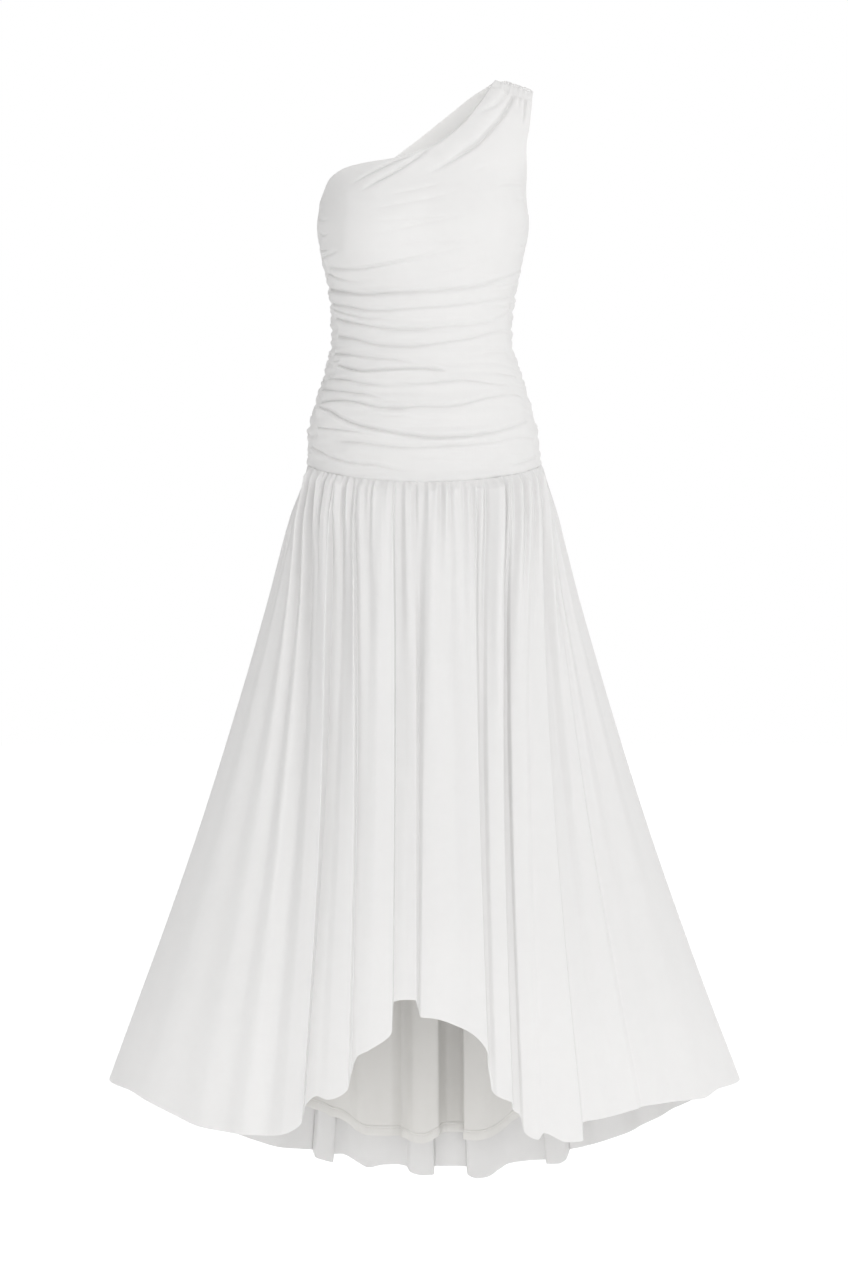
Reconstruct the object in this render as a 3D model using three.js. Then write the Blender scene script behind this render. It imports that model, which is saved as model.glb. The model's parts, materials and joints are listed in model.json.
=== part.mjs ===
// A one-shoulder dress, standing open and hollow as it does when it is worn.
// A ruched bodice runs from one shoulder to a dropped waist seam, and a gathered skirt falls from that seam
// to a hem that is high in front and long behind. A shorter lining hangs inside the skirt.
//
// Millimetres, +Z up, and the front faces -Y. In the tables, x is 0 on the centre line and z is 0 at the
// waist seam on the sides. The group then moves the inside of the shoulder seam, where the dress is held
// up, to the origin.

import * as THREE from "three";

// Cloth walls and seams
const BODICE_CLOTH = 1.8; // two layers of jersey
const SKIRT_CLOTH = 1.6;
const LINING_CLOTH = 1.0;
const LINING_HEM_EXTRA = 0.8; // the turned-up hem stands this much proud inside
const SEAM_GAP = 0.3;

// Shoulder, underarm and waist seams
const SHOULDER_IN = { x: 100, z: 538 };
const SHOULDER_OUT = { x: 152, z: 521 };
const SHOULDER_ROUNDING = 120; // the cloth rolls over the shoulder within this drop
const UNDERARM_LEFT = 365;
const UNDERARM_RIGHT = 388;
const WAIST_SAG = 29; // the waist seam is this much lower at the centre than at the sides
const SAG_POWER = 1.4;

const FRONT = -1; // the sign of y on each side of the dress
const BACK = 1;

// Half-widths to each side, and depths to the front and back, of the smooth form at each height. square is
// 1 where a section is an ellipse, and less where its front and back are flatter.
const FORM = [
  { z: -1100, left: 528, right: 528, front: 306, back: 356, square: 1 },
  { z: -960, left: 478, right: 478, front: 286, back: 334, square: 1 },
  { z: -858, left: 441, right: 441, front: 270, back: 316, square: 1 },
  { z: -749, left: 401, right: 399, front: 252, back: 296, square: 1 },
  { z: -637, left: 360, right: 358, front: 232, back: 275, square: 1 },
  { z: -525, left: 321, right: 319, front: 212, back: 252, square: 1 },
  { z: -413, left: 285, right: 283, front: 192, back: 228, square: 1 },
  { z: -301, left: 251, right: 249, front: 172, back: 204, square: 1 },
  { z: -189, left: 218, right: 216, front: 152, back: 178, square: 1 },
  { z: -77, left: 188, right: 187, front: 130, back: 150, square: 1 },
  { z: 0, left: 163, right: 163, front: 110, back: 124, square: 1 },
  { z: 49, left: 161, right: 156, front: 105, back: 119, square: 1 },
  { z: 91, left: 149, right: 145, front: 98, back: 108, square: 1 },
  { z: 133, left: 136, right: 132, front: 91, back: 96, square: 0.98 },
  { z: 178, left: 128, right: 120, front: 87, back: 87, square: 0.95 },
  { z: 220, left: 129, right: 123, front: 90, back: 87, square: 0.9 },
  { z: 259, left: 135, right: 130, front: 98, back: 91, square: 0.84 },
  { z: 300, left: 144, right: 139, front: 110, back: 96, square: 0.78 },
  { z: 336, left: 150, right: 145, front: 117, back: 99, square: 0.76 },
  { z: 365, left: 147, right: 143, front: 114, back: 102, square: 0.76 },
  { z: 388, left: 148, right: 142, front: 108, back: 103, square: 0.78 },
  { z: 430, left: 150, right: 166, front: 97, back: 101, square: 0.86 },
  { z: 480, left: 150, right: 178, front: 87, back: 94, square: 0.95 },
  { z: 540, left: 150, right: 185, front: 80, back: 84, square: 1 },
];

// The lining's own form, clear inside the deepest folds of the skirt
const LINING_FORM = [
  { z: -1000, left: 352, right: 352, front: 218, back: 264, square: 1 },
  { z: -858, left: 325, right: 325, front: 204, back: 246, square: 1 },
  { z: -637, left: 281, right: 281, front: 180, back: 219, square: 1 },
  { z: -413, left: 236, right: 236, front: 156, back: 188, square: 1 },
  { z: -189, left: 196, right: 196, front: 131, back: 154, square: 1 },
  { z: -77, left: 174, right: 174, front: 117, back: 135, square: 1 },
  { z: -15, left: 159.5, right: 159.5, front: 106, back: 120, square: 1 },
  { z: 0, left: 159, right: 159, front: 106, back: 120, square: 1 },
];

// The neckline from the left underarm to the shoulder, and the armhole's outline seen from the front
const NECKLINE = {
  [FRONT]: [
    { x: -147, z: 365 },
    { x: -143, z: 370 },
    { x: -131, z: 393 },
    { x: -110, z: 406 },
    { x: -89, z: 411 },
    { x: -39, z: 418 },
    { x: 9, z: 434 },
    { x: 52, z: 467 },
    { x: 78, z: 502 },
    { x: 100, z: 538 },
  ],
  [BACK]: [
    { x: -147, z: 365 },
    { x: -98, z: 404 },
    { x: -42, z: 444 },
    { x: -6, z: 471 },
    { x: 36, z: 502 },
    { x: 72, z: 526 },
    { x: 100, z: 538 },
  ],
};
const ARMHOLE = [
  { z: 388, x: 142 },
  { z: 430, x: 141 },
  { z: 480, x: 147 },
  { z: 521, x: 152 },
];

// Creases of the ruching, upwards from the waist seam: their heights at the left side seam, at a quarter,
// the middle and three quarters of the way round each panel, and at the right side seam, and how far the
// cloth below each crease puffs out
const RUCHES = [
  { left: 27, front: [-1, -16, -7], back: [6, -8, 2], right: 8, puff: 2.2 },
  { left: 56, front: [38, 20, 31], back: [36, 26, 24], right: 41, puff: 3.6 },
  { left: 87, front: [57, 32, 44], back: [66, 55, 43], right: 62, puff: 3.2 },
  { left: 111, front: [95, 76, 91], back: [93, 84, 78], right: 99, puff: 4.0 },
  { left: 127, front: [113, 112, 113], back: [110, 104, 103], right: 122, puff: 3.4 },
  { left: 149, front: [128, 124, 133], back: [133, 127, 124], right: 140, puff: 2.8 },
  { left: 163, front: [150, 138, 152], back: [148, 146, 150], right: 164, puff: 2.8 },
  { left: 189, front: [171, 161, 180], back: [174, 168, 172], right: 192, puff: 3.2 },
  { left: 211, front: [194, 186, 202], back: [198, 190, 196], right: 217, puff: 3.2 },
  { left: 227, front: [215, 211, 224], back: [214, 212, 221], right: 238, puff: 3.0 },
  { left: 250, front: [238, 236, 249], back: [238, 236, 246], right: 263, puff: 3.2 },
  { left: 273, front: [255, 251, 263], back: [258, 256, 262], right: 278, puff: 2.6 },
  { left: 293, front: [274, 275, 291], back: [282, 284, 292], right: 302, puff: 2.2 },
];
const PUFF_SHARE = 0.42; // each puff sags, so it is fullest below the middle of its strip
const BODICE_COLUMNS = 22;
const STRAP_START = 13 / 22; // columns before this share end at the neckline, the rest at the shoulder
const STRAP_ROWS_BELOW_ARMHOLE = 3;
const STRAP_ROWS_ABOVE_ARMHOLE = [0.06, 0.18, 0.34, 0.5, 0.66, 0.82, 0.93, 1];
const SHOULDER_GATHER = 1.6;
const GATHER_FADE = 0.3; // the shoulder's gathers die out over this share of the rows under it

// Folds that fall from the shoulder across the chest, as lines in the front view
const DRAPE_WIDTH = 8;
const DRAPES = [
  {
    depth: 3.6,
    line: [
      { x: 127, z: 522 },
      { x: 90, z: 469 },
      { x: 64, z: 435 },
      { x: 25, z: 404 },
      { x: -3, z: 387 },
    ],
  },
  {
    depth: 2.8,
    line: [
      { x: 108, z: 520 },
      { x: 77, z: 489 },
      { x: 42, z: 455 },
      { x: 12, z: 426 },
      { x: -40, z: 393 },
      { x: -86, z: 370 },
    ],
  },
];

// Folds of the skirt and the lining. at counts folds from the left side seam: a fold stands furthest out
// halfway between two whole numbers, and furthest in at a whole number. seam and hem are its x at the top
// and at the bottom, z is the height of the hem there and depth is how far it stands out or in.
const SKIRT_FRONT_FOLDS = [
  { at: 0, seam: -163, hem: -441, z: -858, depth: 0 },
  { at: 0.25, seam: -162, hem: -411, z: -860, depth: 4 },
  { at: 0.5, seam: -161, hem: -377, z: -871, depth: 8 },
  { at: 1.5, seam: -154, hem: -304, z: -897, depth: 12 },
  { at: 2.5, seam: -141, hem: -243, z: -904, depth: 16 },
  { at: 3.5, seam: -120, hem: -179, z: -899, depth: 24 },
  { at: 4, seam: -104, hem: -150, z: -859, depth: 22 },
  { at: 4.5, seam: -88, hem: -122, z: -847, depth: 20 },
  { at: 5, seam: -72, hem: -100, z: -824, depth: 20 },
  { at: 5.5, seam: -56, hem: -72, z: -784, depth: 24 },
  { at: 5.83, seam: -38, hem: -46, z: -756, depth: 26 },
  { at: 6, seam: -25, hem: -27, z: -724, depth: 28 },
  { at: 6.17, seam: -13, hem: -10, z: -726, depth: 26 },
  { at: 6.5, seam: 8, hem: 17, z: -745, depth: 24 },
  { at: 7, seam: 23, hem: 41, z: -752, depth: 10 },
  { at: 7.5, seam: 37, hem: 61, z: -766, depth: 16 },
  { at: 7.83, seam: 48, hem: 79, z: -790, depth: 20 },
  { at: 8.17, seam: 57, hem: 89, z: -842, depth: 22 },
  { at: 8.5, seam: 66, hem: 101, z: -853, depth: 22 },
  { at: 9, seam: 80, hem: 123, z: -882, depth: 22 },
  { at: 9.5, seam: 92, hem: 145, z: -904, depth: 22 },
  { at: 10.5, seam: 115, hem: 188, z: -913, depth: 22 },
  { at: 11, seam: 126, hem: 212, z: -890, depth: 20 },
  { at: 11.5, seam: 135, hem: 248, z: -881, depth: 16 },
  { at: 12.5, seam: 149, hem: 310, z: -869, depth: 12 },
  { at: 13.5, seam: 159, hem: 376, z: -868, depth: 10 },
  { at: 13.75, seam: 161, hem: 409, z: -858, depth: 5 },
  { at: 14, seam: 163, hem: 441, z: -858, depth: 0 },
];
const SKIRT_BACK_FOLDS = [
  { at: 0, seam: -163, hem: -441, z: -858, depth: 0 },
  { at: 0.5, seam: -158, hem: -400, z: -902, depth: 10 },
  { at: 1.5, seam: -147, hem: -330, z: -951, depth: 18 },
  { at: 2.5, seam: -126, hem: -255, z: -985, depth: 22 },
  { at: 3.5, seam: -96, hem: -180, z: -1012, depth: 26 },
  { at: 4, seam: -80, hem: -142, z: -1020, depth: 28 },
  { at: 4.5, seam: -64, hem: -105, z: -1030, depth: 26 },
  { at: 5, seam: -47, hem: -75, z: -1032, depth: 28 },
  { at: 5.5, seam: -30, hem: -45, z: -1042, depth: 28 },
  { at: 6, seam: -12, hem: -2, z: -1051, depth: 30 },
  { at: 6.5, seam: 6, hem: 40, z: -1043, depth: 26 },
  { at: 7, seam: 24, hem: 78, z: -1053, depth: 30 },
  { at: 7.5, seam: 42, hem: 112, z: -1045, depth: 24 },
  { at: 8.5, seam: 76, hem: 160, z: -1031, depth: 26 },
  { at: 9, seam: 92, hem: 187, z: -1019, depth: 28 },
  { at: 9.5, seam: 107, hem: 222, z: -1008, depth: 24 },
  { at: 10.5, seam: 134, hem: 300, z: -971, depth: 18 },
  { at: 11, seam: 145, hem: 343, z: -943, depth: 14 },
  { at: 11.5, seam: 156, hem: 385, z: -913, depth: 10 },
  { at: 12, seam: 163, hem: 441, z: -858, depth: 0 },
];
const LINING_FRONT_FOLDS = [
  { at: 0, seam: -159, hem: -314, z: -800, depth: 0 },
  { at: 0.5, seam: -150, hem: -285, z: -812, depth: 4 },
  { at: 1.5, seam: -108, hem: -195, z: -800, depth: 6 },
  { at: 2.5, seam: -40, hem: -70, z: -690, depth: 6 },
  { at: 3.5, seam: 42, hem: 75, z: -695, depth: 6 },
  { at: 4.5, seam: 110, hem: 200, z: -805, depth: 6 },
  { at: 5.5, seam: 150, hem: 288, z: -812, depth: 4 },
  { at: 6, seam: 159, hem: 314, z: -800, depth: 0 },
];
const LINING_BACK_FOLDS = [
  { at: 0, seam: -159, hem: -314, z: -800, depth: 0 },
  { at: 0.5, seam: -150, hem: -280, z: -845, depth: 5 },
  { at: 1.5, seam: -108, hem: -165, z: -930, depth: 8 },
  { at: 2, seam: -70, hem: -78, z: -970, depth: 8 },
  { at: 2.5, seam: -32, hem: -31, z: -976, depth: 8 },
  { at: 3, seam: 0, hem: -3, z: -984, depth: 12 },
  { at: 3.5, seam: 34, hem: 46, z: -972, depth: 12 },
  { at: 4, seam: 68, hem: 88, z: -977, depth: 10 },
  { at: 4.5, seam: 104, hem: 150, z: -941, depth: 9 },
  { at: 5.5, seam: 150, hem: 280, z: -845, depth: 5 },
  { at: 6, seam: 159, hem: 314, z: -800, depth: 0 },
];
const FOLD_GROWTH = 0.75; // the power by which a fold deepens from the seam to the hem
const FOLD_STEEPNESS = 0.55; // 0 gives round waves, 1 gives folds with upright sides
const FOLD_FULLNESS = 0.2; // how much wider a fold is outside than inside

// Rows of the skirt and lining, as shares of the way from the waist seam to the hem, from the hem up
const SKIRT_ROWS = [1, 0.87, 0.74, 0.62, 0.51, 0.41, 0.32, 0.24, 0.17, 0.11, 0.065, 0.03, 0.01, 0];
const LINING_ROWS = [1, 0.983, 0.981, 0.82, 0.64, 0.46, 0.3, 0.16, 0.06, 0];
const LINING_HEM_ROWS = 2; // the rows that the turned-up hem covers
const SKIRT_GATHER = 2.0; // how far the gathers stand out and in under the waist seam
const GATHER_LENGTH = 0.17; // the share of the skirt's length over which they die out

const clamp = THREE.MathUtils.clamp;
const lerp = THREE.MathUtils.lerp;

// Reads a column of a table at a place between its rows, on a smooth curve that never overshoots them.
function read(table, key, place, column) {
  const last = table.length - 1;
  const descending = table[0][key] > table[last][key];
  const before = (row) => (descending ? row[key] >= place : row[key] <= place);
  let i = 0;
  while (i < last - 1 && before(table[i + 1])) i += 1;
  const span = (n) => table[n + 1][key] - table[n][key];
  const slope = (n) => (table[n + 1][column] - table[n][column]) / span(n);
  const tangent = (n) => {
    if (n === 0 || n === last) return slope(Math.min(n, last - 1));
    const [s0, s1] = [slope(n - 1), slope(n)];
    return s0 * s1 <= 0 ? 0 : (2 * s0 * s1) / (s0 + s1);
  };
  const h = span(i);
  const t = clamp((place - table[i][key]) / h, 0, 1);
  const [t2, t3] = [t * t, t * t * t];
  return (
    (2 * t3 - 3 * t2 + 1) * table[i][column] +
    (t3 - 2 * t2 + t) * h * tangent(i) +
    (3 * t2 - 2 * t3) * table[i + 1][column] +
    (t3 - t2) * h * tangent(i + 1)
  );
}

function smooth(t) {
  const c = clamp(t, 0, 1);
  return c * c * (3 - 2 * c);
}

// The shoulder seam is a straight line in the front view.
function shoulderHeight(x) {
  const slope = (SHOULDER_OUT.z - SHOULDER_IN.z) / (SHOULDER_OUT.x - SHOULDER_IN.x);
  return SHOULDER_IN.z + slope * (x - SHOULDER_IN.x);
}

function waistHeight(angle) {
  return -WAIST_SAG * Math.max(Math.sin(angle), 0) ** SAG_POWER;
}

// Depth of the folds across the chest at a place in the front view.
function drapeDepth(x, z) {
  let depth = 0;
  for (const { line, depth: most } of DRAPES) {
    let nearest = Infinity;
    line.slice(1).forEach((end, k) => {
      const [dx, dz] = [end.x - line[k].x, end.z - line[k].z];
      const along = ((x - line[k].x) * dx + (z - line[k].z) * dz) / (dx * dx + dz * dz);
      const t = clamp(along, 0, 1);
      nearest = Math.min(nearest, Math.hypot(x - line[k].x - t * dx, z - line[k].z - t * dz));
    });
    depth += most * Math.exp(-((nearest / DRAPE_WIDTH) ** 2));
  }
  return depth;
}

// A point on a form. angle runs from 0 at the left side to pi at the right side.
function formPoint(form, side, angle, z) {
  const half = read(form, "z", z, angle < Math.PI / 2 ? "left" : "right");
  const x = -half * Math.cos(angle);
  const depth = read(form, "z", z, side === FRONT ? "front" : "back");
  const drop = clamp((shoulderHeight(x) - z) / SHOULDER_ROUNDING, 0, 1);
  const roll = Math.sqrt(1 - (1 - drop) ** 2);
  const round = Math.max(Math.sin(angle), 0) ** read(form, "z", z, "square");
  return new THREE.Vector3(x, side * depth * round * roll, z);
}

// Outward directions at the points of a grid whose rows run upwards.
function gridNormals(grid, side) {
  const rows = grid.length - 1;
  const columns = grid[0].length - 1;
  return grid.map((line, i) =>
    line.map((_, j) => {
      const across = grid[i][Math.min(j + 1, columns)].clone().sub(grid[i][Math.max(j - 1, 0)]);
      const up = grid[Math.min(i + 1, rows)][j].clone().sub(grid[Math.max(i - 1, 0)][j]);
      return across.cross(up).multiplyScalar(-side).normalize();
    }),
  );
}

// A cloth panel as a closed wall: a grid of points, moved out by lift, and the same grid one thickness
// further in. pin(direction, i, j) keeps a seam's edge in its own plane, and place(point, i, j) sets it
// half a seam gap from its neighbour.
function panelGeometry({ side, grid, lift, thickness, pin, place }) {
  const rows = grid.length - 1;
  const columns = grid[0].length - 1;
  const out = gridNormals(grid, side);
  const outer = grid.map((line, i) =>
    line.map((p, j) => {
      pin(out[i][j], i, j);
      return p.clone().addScaledVector(out[i][j].normalize(), lift(i, j));
    }),
  );
  const normals = gridNormals(outer, side);
  const inner = outer.map((line, i) =>
    line.map((p, j) => {
      pin(normals[i][j], i, j);
      return p.clone().addScaledVector(normals[i][j].normalize(), -thickness(i));
    }),
  );
  const positions = [];
  for (const layer of [outer, inner])
    layer.forEach((line, i) =>
      line.forEach((p, j) => {
        place(p, i, j);
        positions.push(p.x, p.y, p.z);
      }),
    );

  const o = (i, j) => i * (columns + 1) + j;
  const n = (i, j) => (rows + 1) * (columns + 1) + o(i, j);
  const index = [];
  const quad = (a, b, c, d) => {
    if (side === FRONT) index.push(a, b, c, a, c, d);
    else index.push(a, c, b, a, d, c);
  };
  for (let i = 0; i < rows; i += 1) {
    for (let j = 0; j < columns; j += 1) {
      quad(o(i, j), o(i, j + 1), o(i + 1, j + 1), o(i + 1, j));
      quad(n(i, j), n(i + 1, j), n(i + 1, j + 1), n(i, j + 1));
    }
    quad(o(i, 0), o(i + 1, 0), n(i + 1, 0), n(i, 0));
    quad(o(i + 1, columns), o(i, columns), n(i, columns), n(i + 1, columns));
  }
  for (let j = 0; j < columns; j += 1) {
    quad(o(0, j + 1), o(0, j), n(0, j), n(0, j + 1));
    quad(o(rows, j), o(rows, j + 1), n(rows, j + 1), n(rows, j));
  }
  const geometry = new THREE.BufferGeometry();
  geometry.setAttribute("position", new THREE.Float32BufferAttribute(positions, 3));
  geometry.setIndex(index);
  geometry.computeVertexNormals();
  return geometry;
}

// Height of a crease at a share of the way round its panel.
function creaseHeight(ruche, side, share) {
  const [quarter, middle, threeQuarters] = side === FRONT ? ruche.front : ruche.back;
  const stations = [
    { share: 0, z: ruche.left },
    { share: 0.25, z: quarter },
    { share: 0.5, z: middle },
    { share: 0.75, z: threeQuarters },
    { share: 1, z: ruche.right },
  ];
  return read(stations, "share", share, "z");
}

// Angle round the form of the right-hand edge: the side seam, and above the underarm the armhole.
function rightEdgeAngle(z) {
  if (z <= UNDERARM_RIGHT) return Math.PI;
  return Math.acos(-read(ARMHOLE, "z", z, "x") / read(FORM, "z", z, "right"));
}

// Place on the top edge of a bodice panel: along the neckline first, then along the shoulder seam.
function topEdge(side, share) {
  const neckline = NECKLINE[side];
  const along = share / STRAP_START;
  const x =
    along <= 1
      ? lerp(neckline[0].x, SHOULDER_IN.x, (1 - Math.cos(Math.PI * along)) / 2)
      : lerp(SHOULDER_IN.x, SHOULDER_OUT.x, (share - STRAP_START) / (1 - STRAP_START));
  const z = along <= 1 ? read(neckline, "x", x, "z") : shoulderHeight(x);
  const half = read(FORM, "z", z, x < 0 ? "left" : "right");
  return { angle: Math.acos(clamp(-x / half, -1, 1)), z };
}

// Rows of a bodice panel from the waist seam up. Each gives a place on the form for a share of the way
// round, and how far the cloth puffs out there.
function bodiceRows(side) {
  const rows = [{ place: (s) => ({ angle: s * Math.PI, z: waistHeight(s * Math.PI) }), puff: 0 }];
  RUCHES.forEach((ruche, k) => {
    const below = (s) => (k ? creaseHeight(RUCHES[k - 1], side, s) : waistHeight(s * Math.PI));
    const crease = (s) => creaseHeight(ruche, side, s);
    const middle = (s) => lerp(below(s), crease(s), PUFF_SHARE);
    rows.push({ place: (s) => ({ angle: s * Math.PI, z: middle(s) }), puff: ruche.puff });
    rows.push({ place: (s) => ({ angle: s * Math.PI, z: crease(s) }), puff: 0 });
  });

  const highest = RUCHES[RUCHES.length - 1];
  const armholeStart = (UNDERARM_RIGHT - highest.right) / (SHOULDER_OUT.z - highest.right);
  const shares = [];
  for (let k = 1; k <= STRAP_ROWS_BELOW_ARMHOLE; k += 1)
    shares.push((armholeStart * k) / STRAP_ROWS_BELOW_ARMHOLE);
  STRAP_ROWS_ABOVE_ARMHOLE.forEach((k) => shares.push(lerp(armholeStart, 1, k)));
  const topRight = topEdge(side, 1).angle;
  for (const climb of shares)
    rows.push({
      climb,
      puff: 0,
      place: (s) => {
        const top = topEdge(side, s);
        const edge = rightEdgeAngle(lerp(highest.right, SHOULDER_OUT.z, climb));
        const turned = 1 - (1 - climb) ** lerp(1, 1.6, Math.min(s / STRAP_START, 1));
        return {
          angle: edge * lerp(s, top.angle / topRight, turned),
          z: lerp(creaseHeight(highest, side, s), top.z, climb),
        };
      },
    });
  return rows;
}

function bodicePanel(side) {
  const rows = bodiceRows(side);
  const top = rows.length - 1;
  const share = (j) => j / BODICE_COLUMNS;
  const grid = rows.map((row) =>
    Array.from({ length: BODICE_COLUMNS + 1 }, (_, j) => {
      const { angle, z } = row.place(share(j));
      return formPoint(FORM, side, angle, z);
    }),
  );
  const underarmRow = 2 * RUCHES.length + STRAP_ROWS_BELOW_ARMHOLE;
  const onSideSeam = (i, j) => (j === 0 && i <= top) || (j === BODICE_COLUMNS && i <= underarmRow);
  const onShoulder = (i, j) => i === top && share(j) >= STRAP_START;
  return panelGeometry({
    side,
    grid,
    thickness: () => BODICE_CLOTH,
    lift: (i, j) => {
      const climb = rows[i].climb ?? 0;
      const gathered = share(j) > STRAP_START && j < BODICE_COLUMNS;
      const gather = gathered ? SHOULDER_GATHER * (j % 2 ? -1 : 1) : 0;
      const { x, z } = grid[i][j];
      const drape = side === FRONT && climb > 0 ? drapeDepth(x, z) * smooth((1 - climb) / 0.1) : 0;
      return rows[i].puff + gather * smooth((climb - 1 + GATHER_FADE) / GATHER_FADE) - drape;
    },
    pin: (direction, i, j) => {
      if (onSideSeam(i, j) || onShoulder(i, j)) direction.y = 0;
      if (i === 0) direction.z = 0;
    },
    place: (point, i, j) => {
      if (onSideSeam(i, j) || onShoulder(i, j)) point.y = (side * SEAM_GAP) / 2;
      if (i === 0) point.z = waistHeight(share(j) * Math.PI) + SEAM_GAP / 2;
    },
  });
}

// A gathered panel that hangs from the waist seam.
function skirtPanel({ side, form, folds, rows, columnsPerFold, thickness, gather }) {
  const count = folds[folds.length - 1].at;
  const columns = count * columnsPerFold;
  const seamHalf = folds[folds.length - 1].seam;
  const fold = (j) => j / columnsPerFold;
  const phase = (at) => 2 * Math.PI * (at - 0.5);
  const nearSide = (at) => smooth(Math.min(at, count - at) / 0.5);

  // Cloth on the sides of a fold is crowded, and cloth on its outside is spread.
  const crowded = (at) =>
    at +
    nearSide(at) *
      ((FOLD_STEEPNESS / (4 * Math.PI)) * Math.sin(2 * phase(at)) +
        (FOLD_FULLNESS / (2 * Math.PI)) * Math.sin(phase(at)));

  const point = (at, down) => {
    const place = crowded(at);
    const hemHalf = read(form, "z", read(folds, "at", place, "z"), "left");
    const x = lerp(read(folds, "at", place, "seam"), read(folds, "at", place, "hem"), down);
    const angle = Math.acos(clamp(-x / lerp(seamHalf, hemHalf, down), -1, 1));
    const z = lerp(waistHeight(angle), read(folds, "at", at, "z"), down);
    return formPoint(form, side, angle, z);
  };
  const bottom = rows.length - 1;
  return panelGeometry({
    side,
    grid: rows.map((down) => Array.from({ length: columns + 1 }, (_, j) => point(fold(j), down))),
    thickness,
    lift: (i, j) => {
      const at = fold(j);
      const depth = read(folds, "at", at, "depth") * rows[i] ** FOLD_GROWTH;
      const tuck = gather * smooth(1 - rows[i] / GATHER_LENGTH) * (j % 2 ? 1 : -1);
      const onSeam = j === 0 || j === columns;
      return onSeam ? 0 : depth * Math.cos(phase(at)) + tuck;
    },
    pin: (direction, i, j) => {
      if (j === 0 || j === columns) direction.y = 0;
      if (i === bottom) direction.z = 0;
    },
    place: (p, i, j) => {
      if (j === 0 || j === columns) p.y = (side * SEAM_GAP) / 2;
      if (i === bottom) p.z -= SEAM_GAP / 2;
    },
  });
}

const skirt = { form: FORM, rows: SKIRT_ROWS, columnsPerFold: 6, gather: SKIRT_GATHER };
const lining = { form: LINING_FORM, rows: LINING_ROWS, columnsPerFold: 4, gather: 0 };
const skirtThickness = () => SKIRT_CLOTH;
const liningThickness = (i) => LINING_CLOTH + (i < LINING_HEM_ROWS ? LINING_HEM_EXTRA : 0);

const bodiceJersey = new THREE.MeshStandardMaterial({ color: 0xf3f2f0, roughness: 0.8, metalness: 0 });
const skirtJersey = new THREE.MeshStandardMaterial({ color: 0xf1f0ee, roughness: 0.75, metalness: 0 });
const liningJersey = new THREE.MeshStandardMaterial({ color: 0xeceae7, roughness: 0.7, metalness: 0 });

const dress = new THREE.Group();
function add(name, geometry, material) {
  const mesh = new THREE.Mesh(geometry, material);
  mesh.name = name;
  dress.add(mesh);
}
add("bodice_front", bodicePanel(FRONT), bodiceJersey);
add("bodice_back", bodicePanel(BACK), bodiceJersey);
add(
  "skirt_front",
  skirtPanel({ ...skirt, side: FRONT, folds: SKIRT_FRONT_FOLDS, thickness: skirtThickness }),
  skirtJersey,
);
add(
  "skirt_back",
  skirtPanel({ ...skirt, side: BACK, folds: SKIRT_BACK_FOLDS, thickness: skirtThickness }),
  skirtJersey,
);
add(
  "lining_front",
  skirtPanel({ ...lining, side: FRONT, folds: LINING_FRONT_FOLDS, thickness: liningThickness }),
  liningJersey,
);
add(
  "lining_back",
  skirtPanel({ ...lining, side: BACK, folds: LINING_BACK_FOLDS, thickness: liningThickness }),
  liningJersey,
);

const held = (SHOULDER_IN.x + SHOULDER_OUT.x) / 2;
dress.position.set(-held, 0, BODICE_CLOTH - shoulderHeight(held));

export default dress;
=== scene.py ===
"""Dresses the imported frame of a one-shoulder dress: ruched bodice, gathered skirt, lining and their sewing.

Sizes in the tables are millimetres, with x 0 on the centre line and z 0 at the side ends of the waist seam,
as in the part's source. Every mesh is made in metres in the part's own frame. The front faces -Y.
"""

from __future__ import annotations

import json
import logging
import math
from dataclasses import dataclass, field
from enum import Enum
from typing import Callable, Sequence

import bpy
import numpy as np
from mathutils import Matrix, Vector

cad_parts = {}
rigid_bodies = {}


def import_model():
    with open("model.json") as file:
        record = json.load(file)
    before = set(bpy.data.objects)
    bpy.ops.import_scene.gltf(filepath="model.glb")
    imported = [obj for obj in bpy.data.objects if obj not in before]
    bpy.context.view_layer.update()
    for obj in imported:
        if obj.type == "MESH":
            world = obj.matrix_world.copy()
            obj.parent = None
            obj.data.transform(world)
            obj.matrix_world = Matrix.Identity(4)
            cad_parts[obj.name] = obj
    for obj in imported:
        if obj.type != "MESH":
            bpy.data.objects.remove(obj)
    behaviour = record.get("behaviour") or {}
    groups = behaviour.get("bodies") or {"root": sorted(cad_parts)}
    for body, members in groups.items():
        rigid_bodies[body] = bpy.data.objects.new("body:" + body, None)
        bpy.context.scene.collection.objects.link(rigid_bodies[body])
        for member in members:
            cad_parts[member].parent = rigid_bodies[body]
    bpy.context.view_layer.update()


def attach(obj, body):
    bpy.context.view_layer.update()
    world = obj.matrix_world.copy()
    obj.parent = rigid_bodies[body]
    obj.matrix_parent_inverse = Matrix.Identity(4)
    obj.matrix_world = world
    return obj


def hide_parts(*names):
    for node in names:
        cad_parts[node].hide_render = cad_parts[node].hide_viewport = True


LOG = logging.getLogger("dress")
MM = 0.001
BODY = "root"

# The part's origin is the inside of the middle of the shoulder seam.
ORIGIN = np.array((126.0, 0.0, 527.7))

# The photograph's view, as read from its pixels
PHOTO_CENTRE = (424.5, 632.0)
PHOTO_CENTRE_HEIGHT = -234.0
PHOTO_MM_A_PIXEL = 1.40
PHOTO_PIXELS = (848, 1264)
CAMERA_DISTANCE = 5000.0

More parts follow.
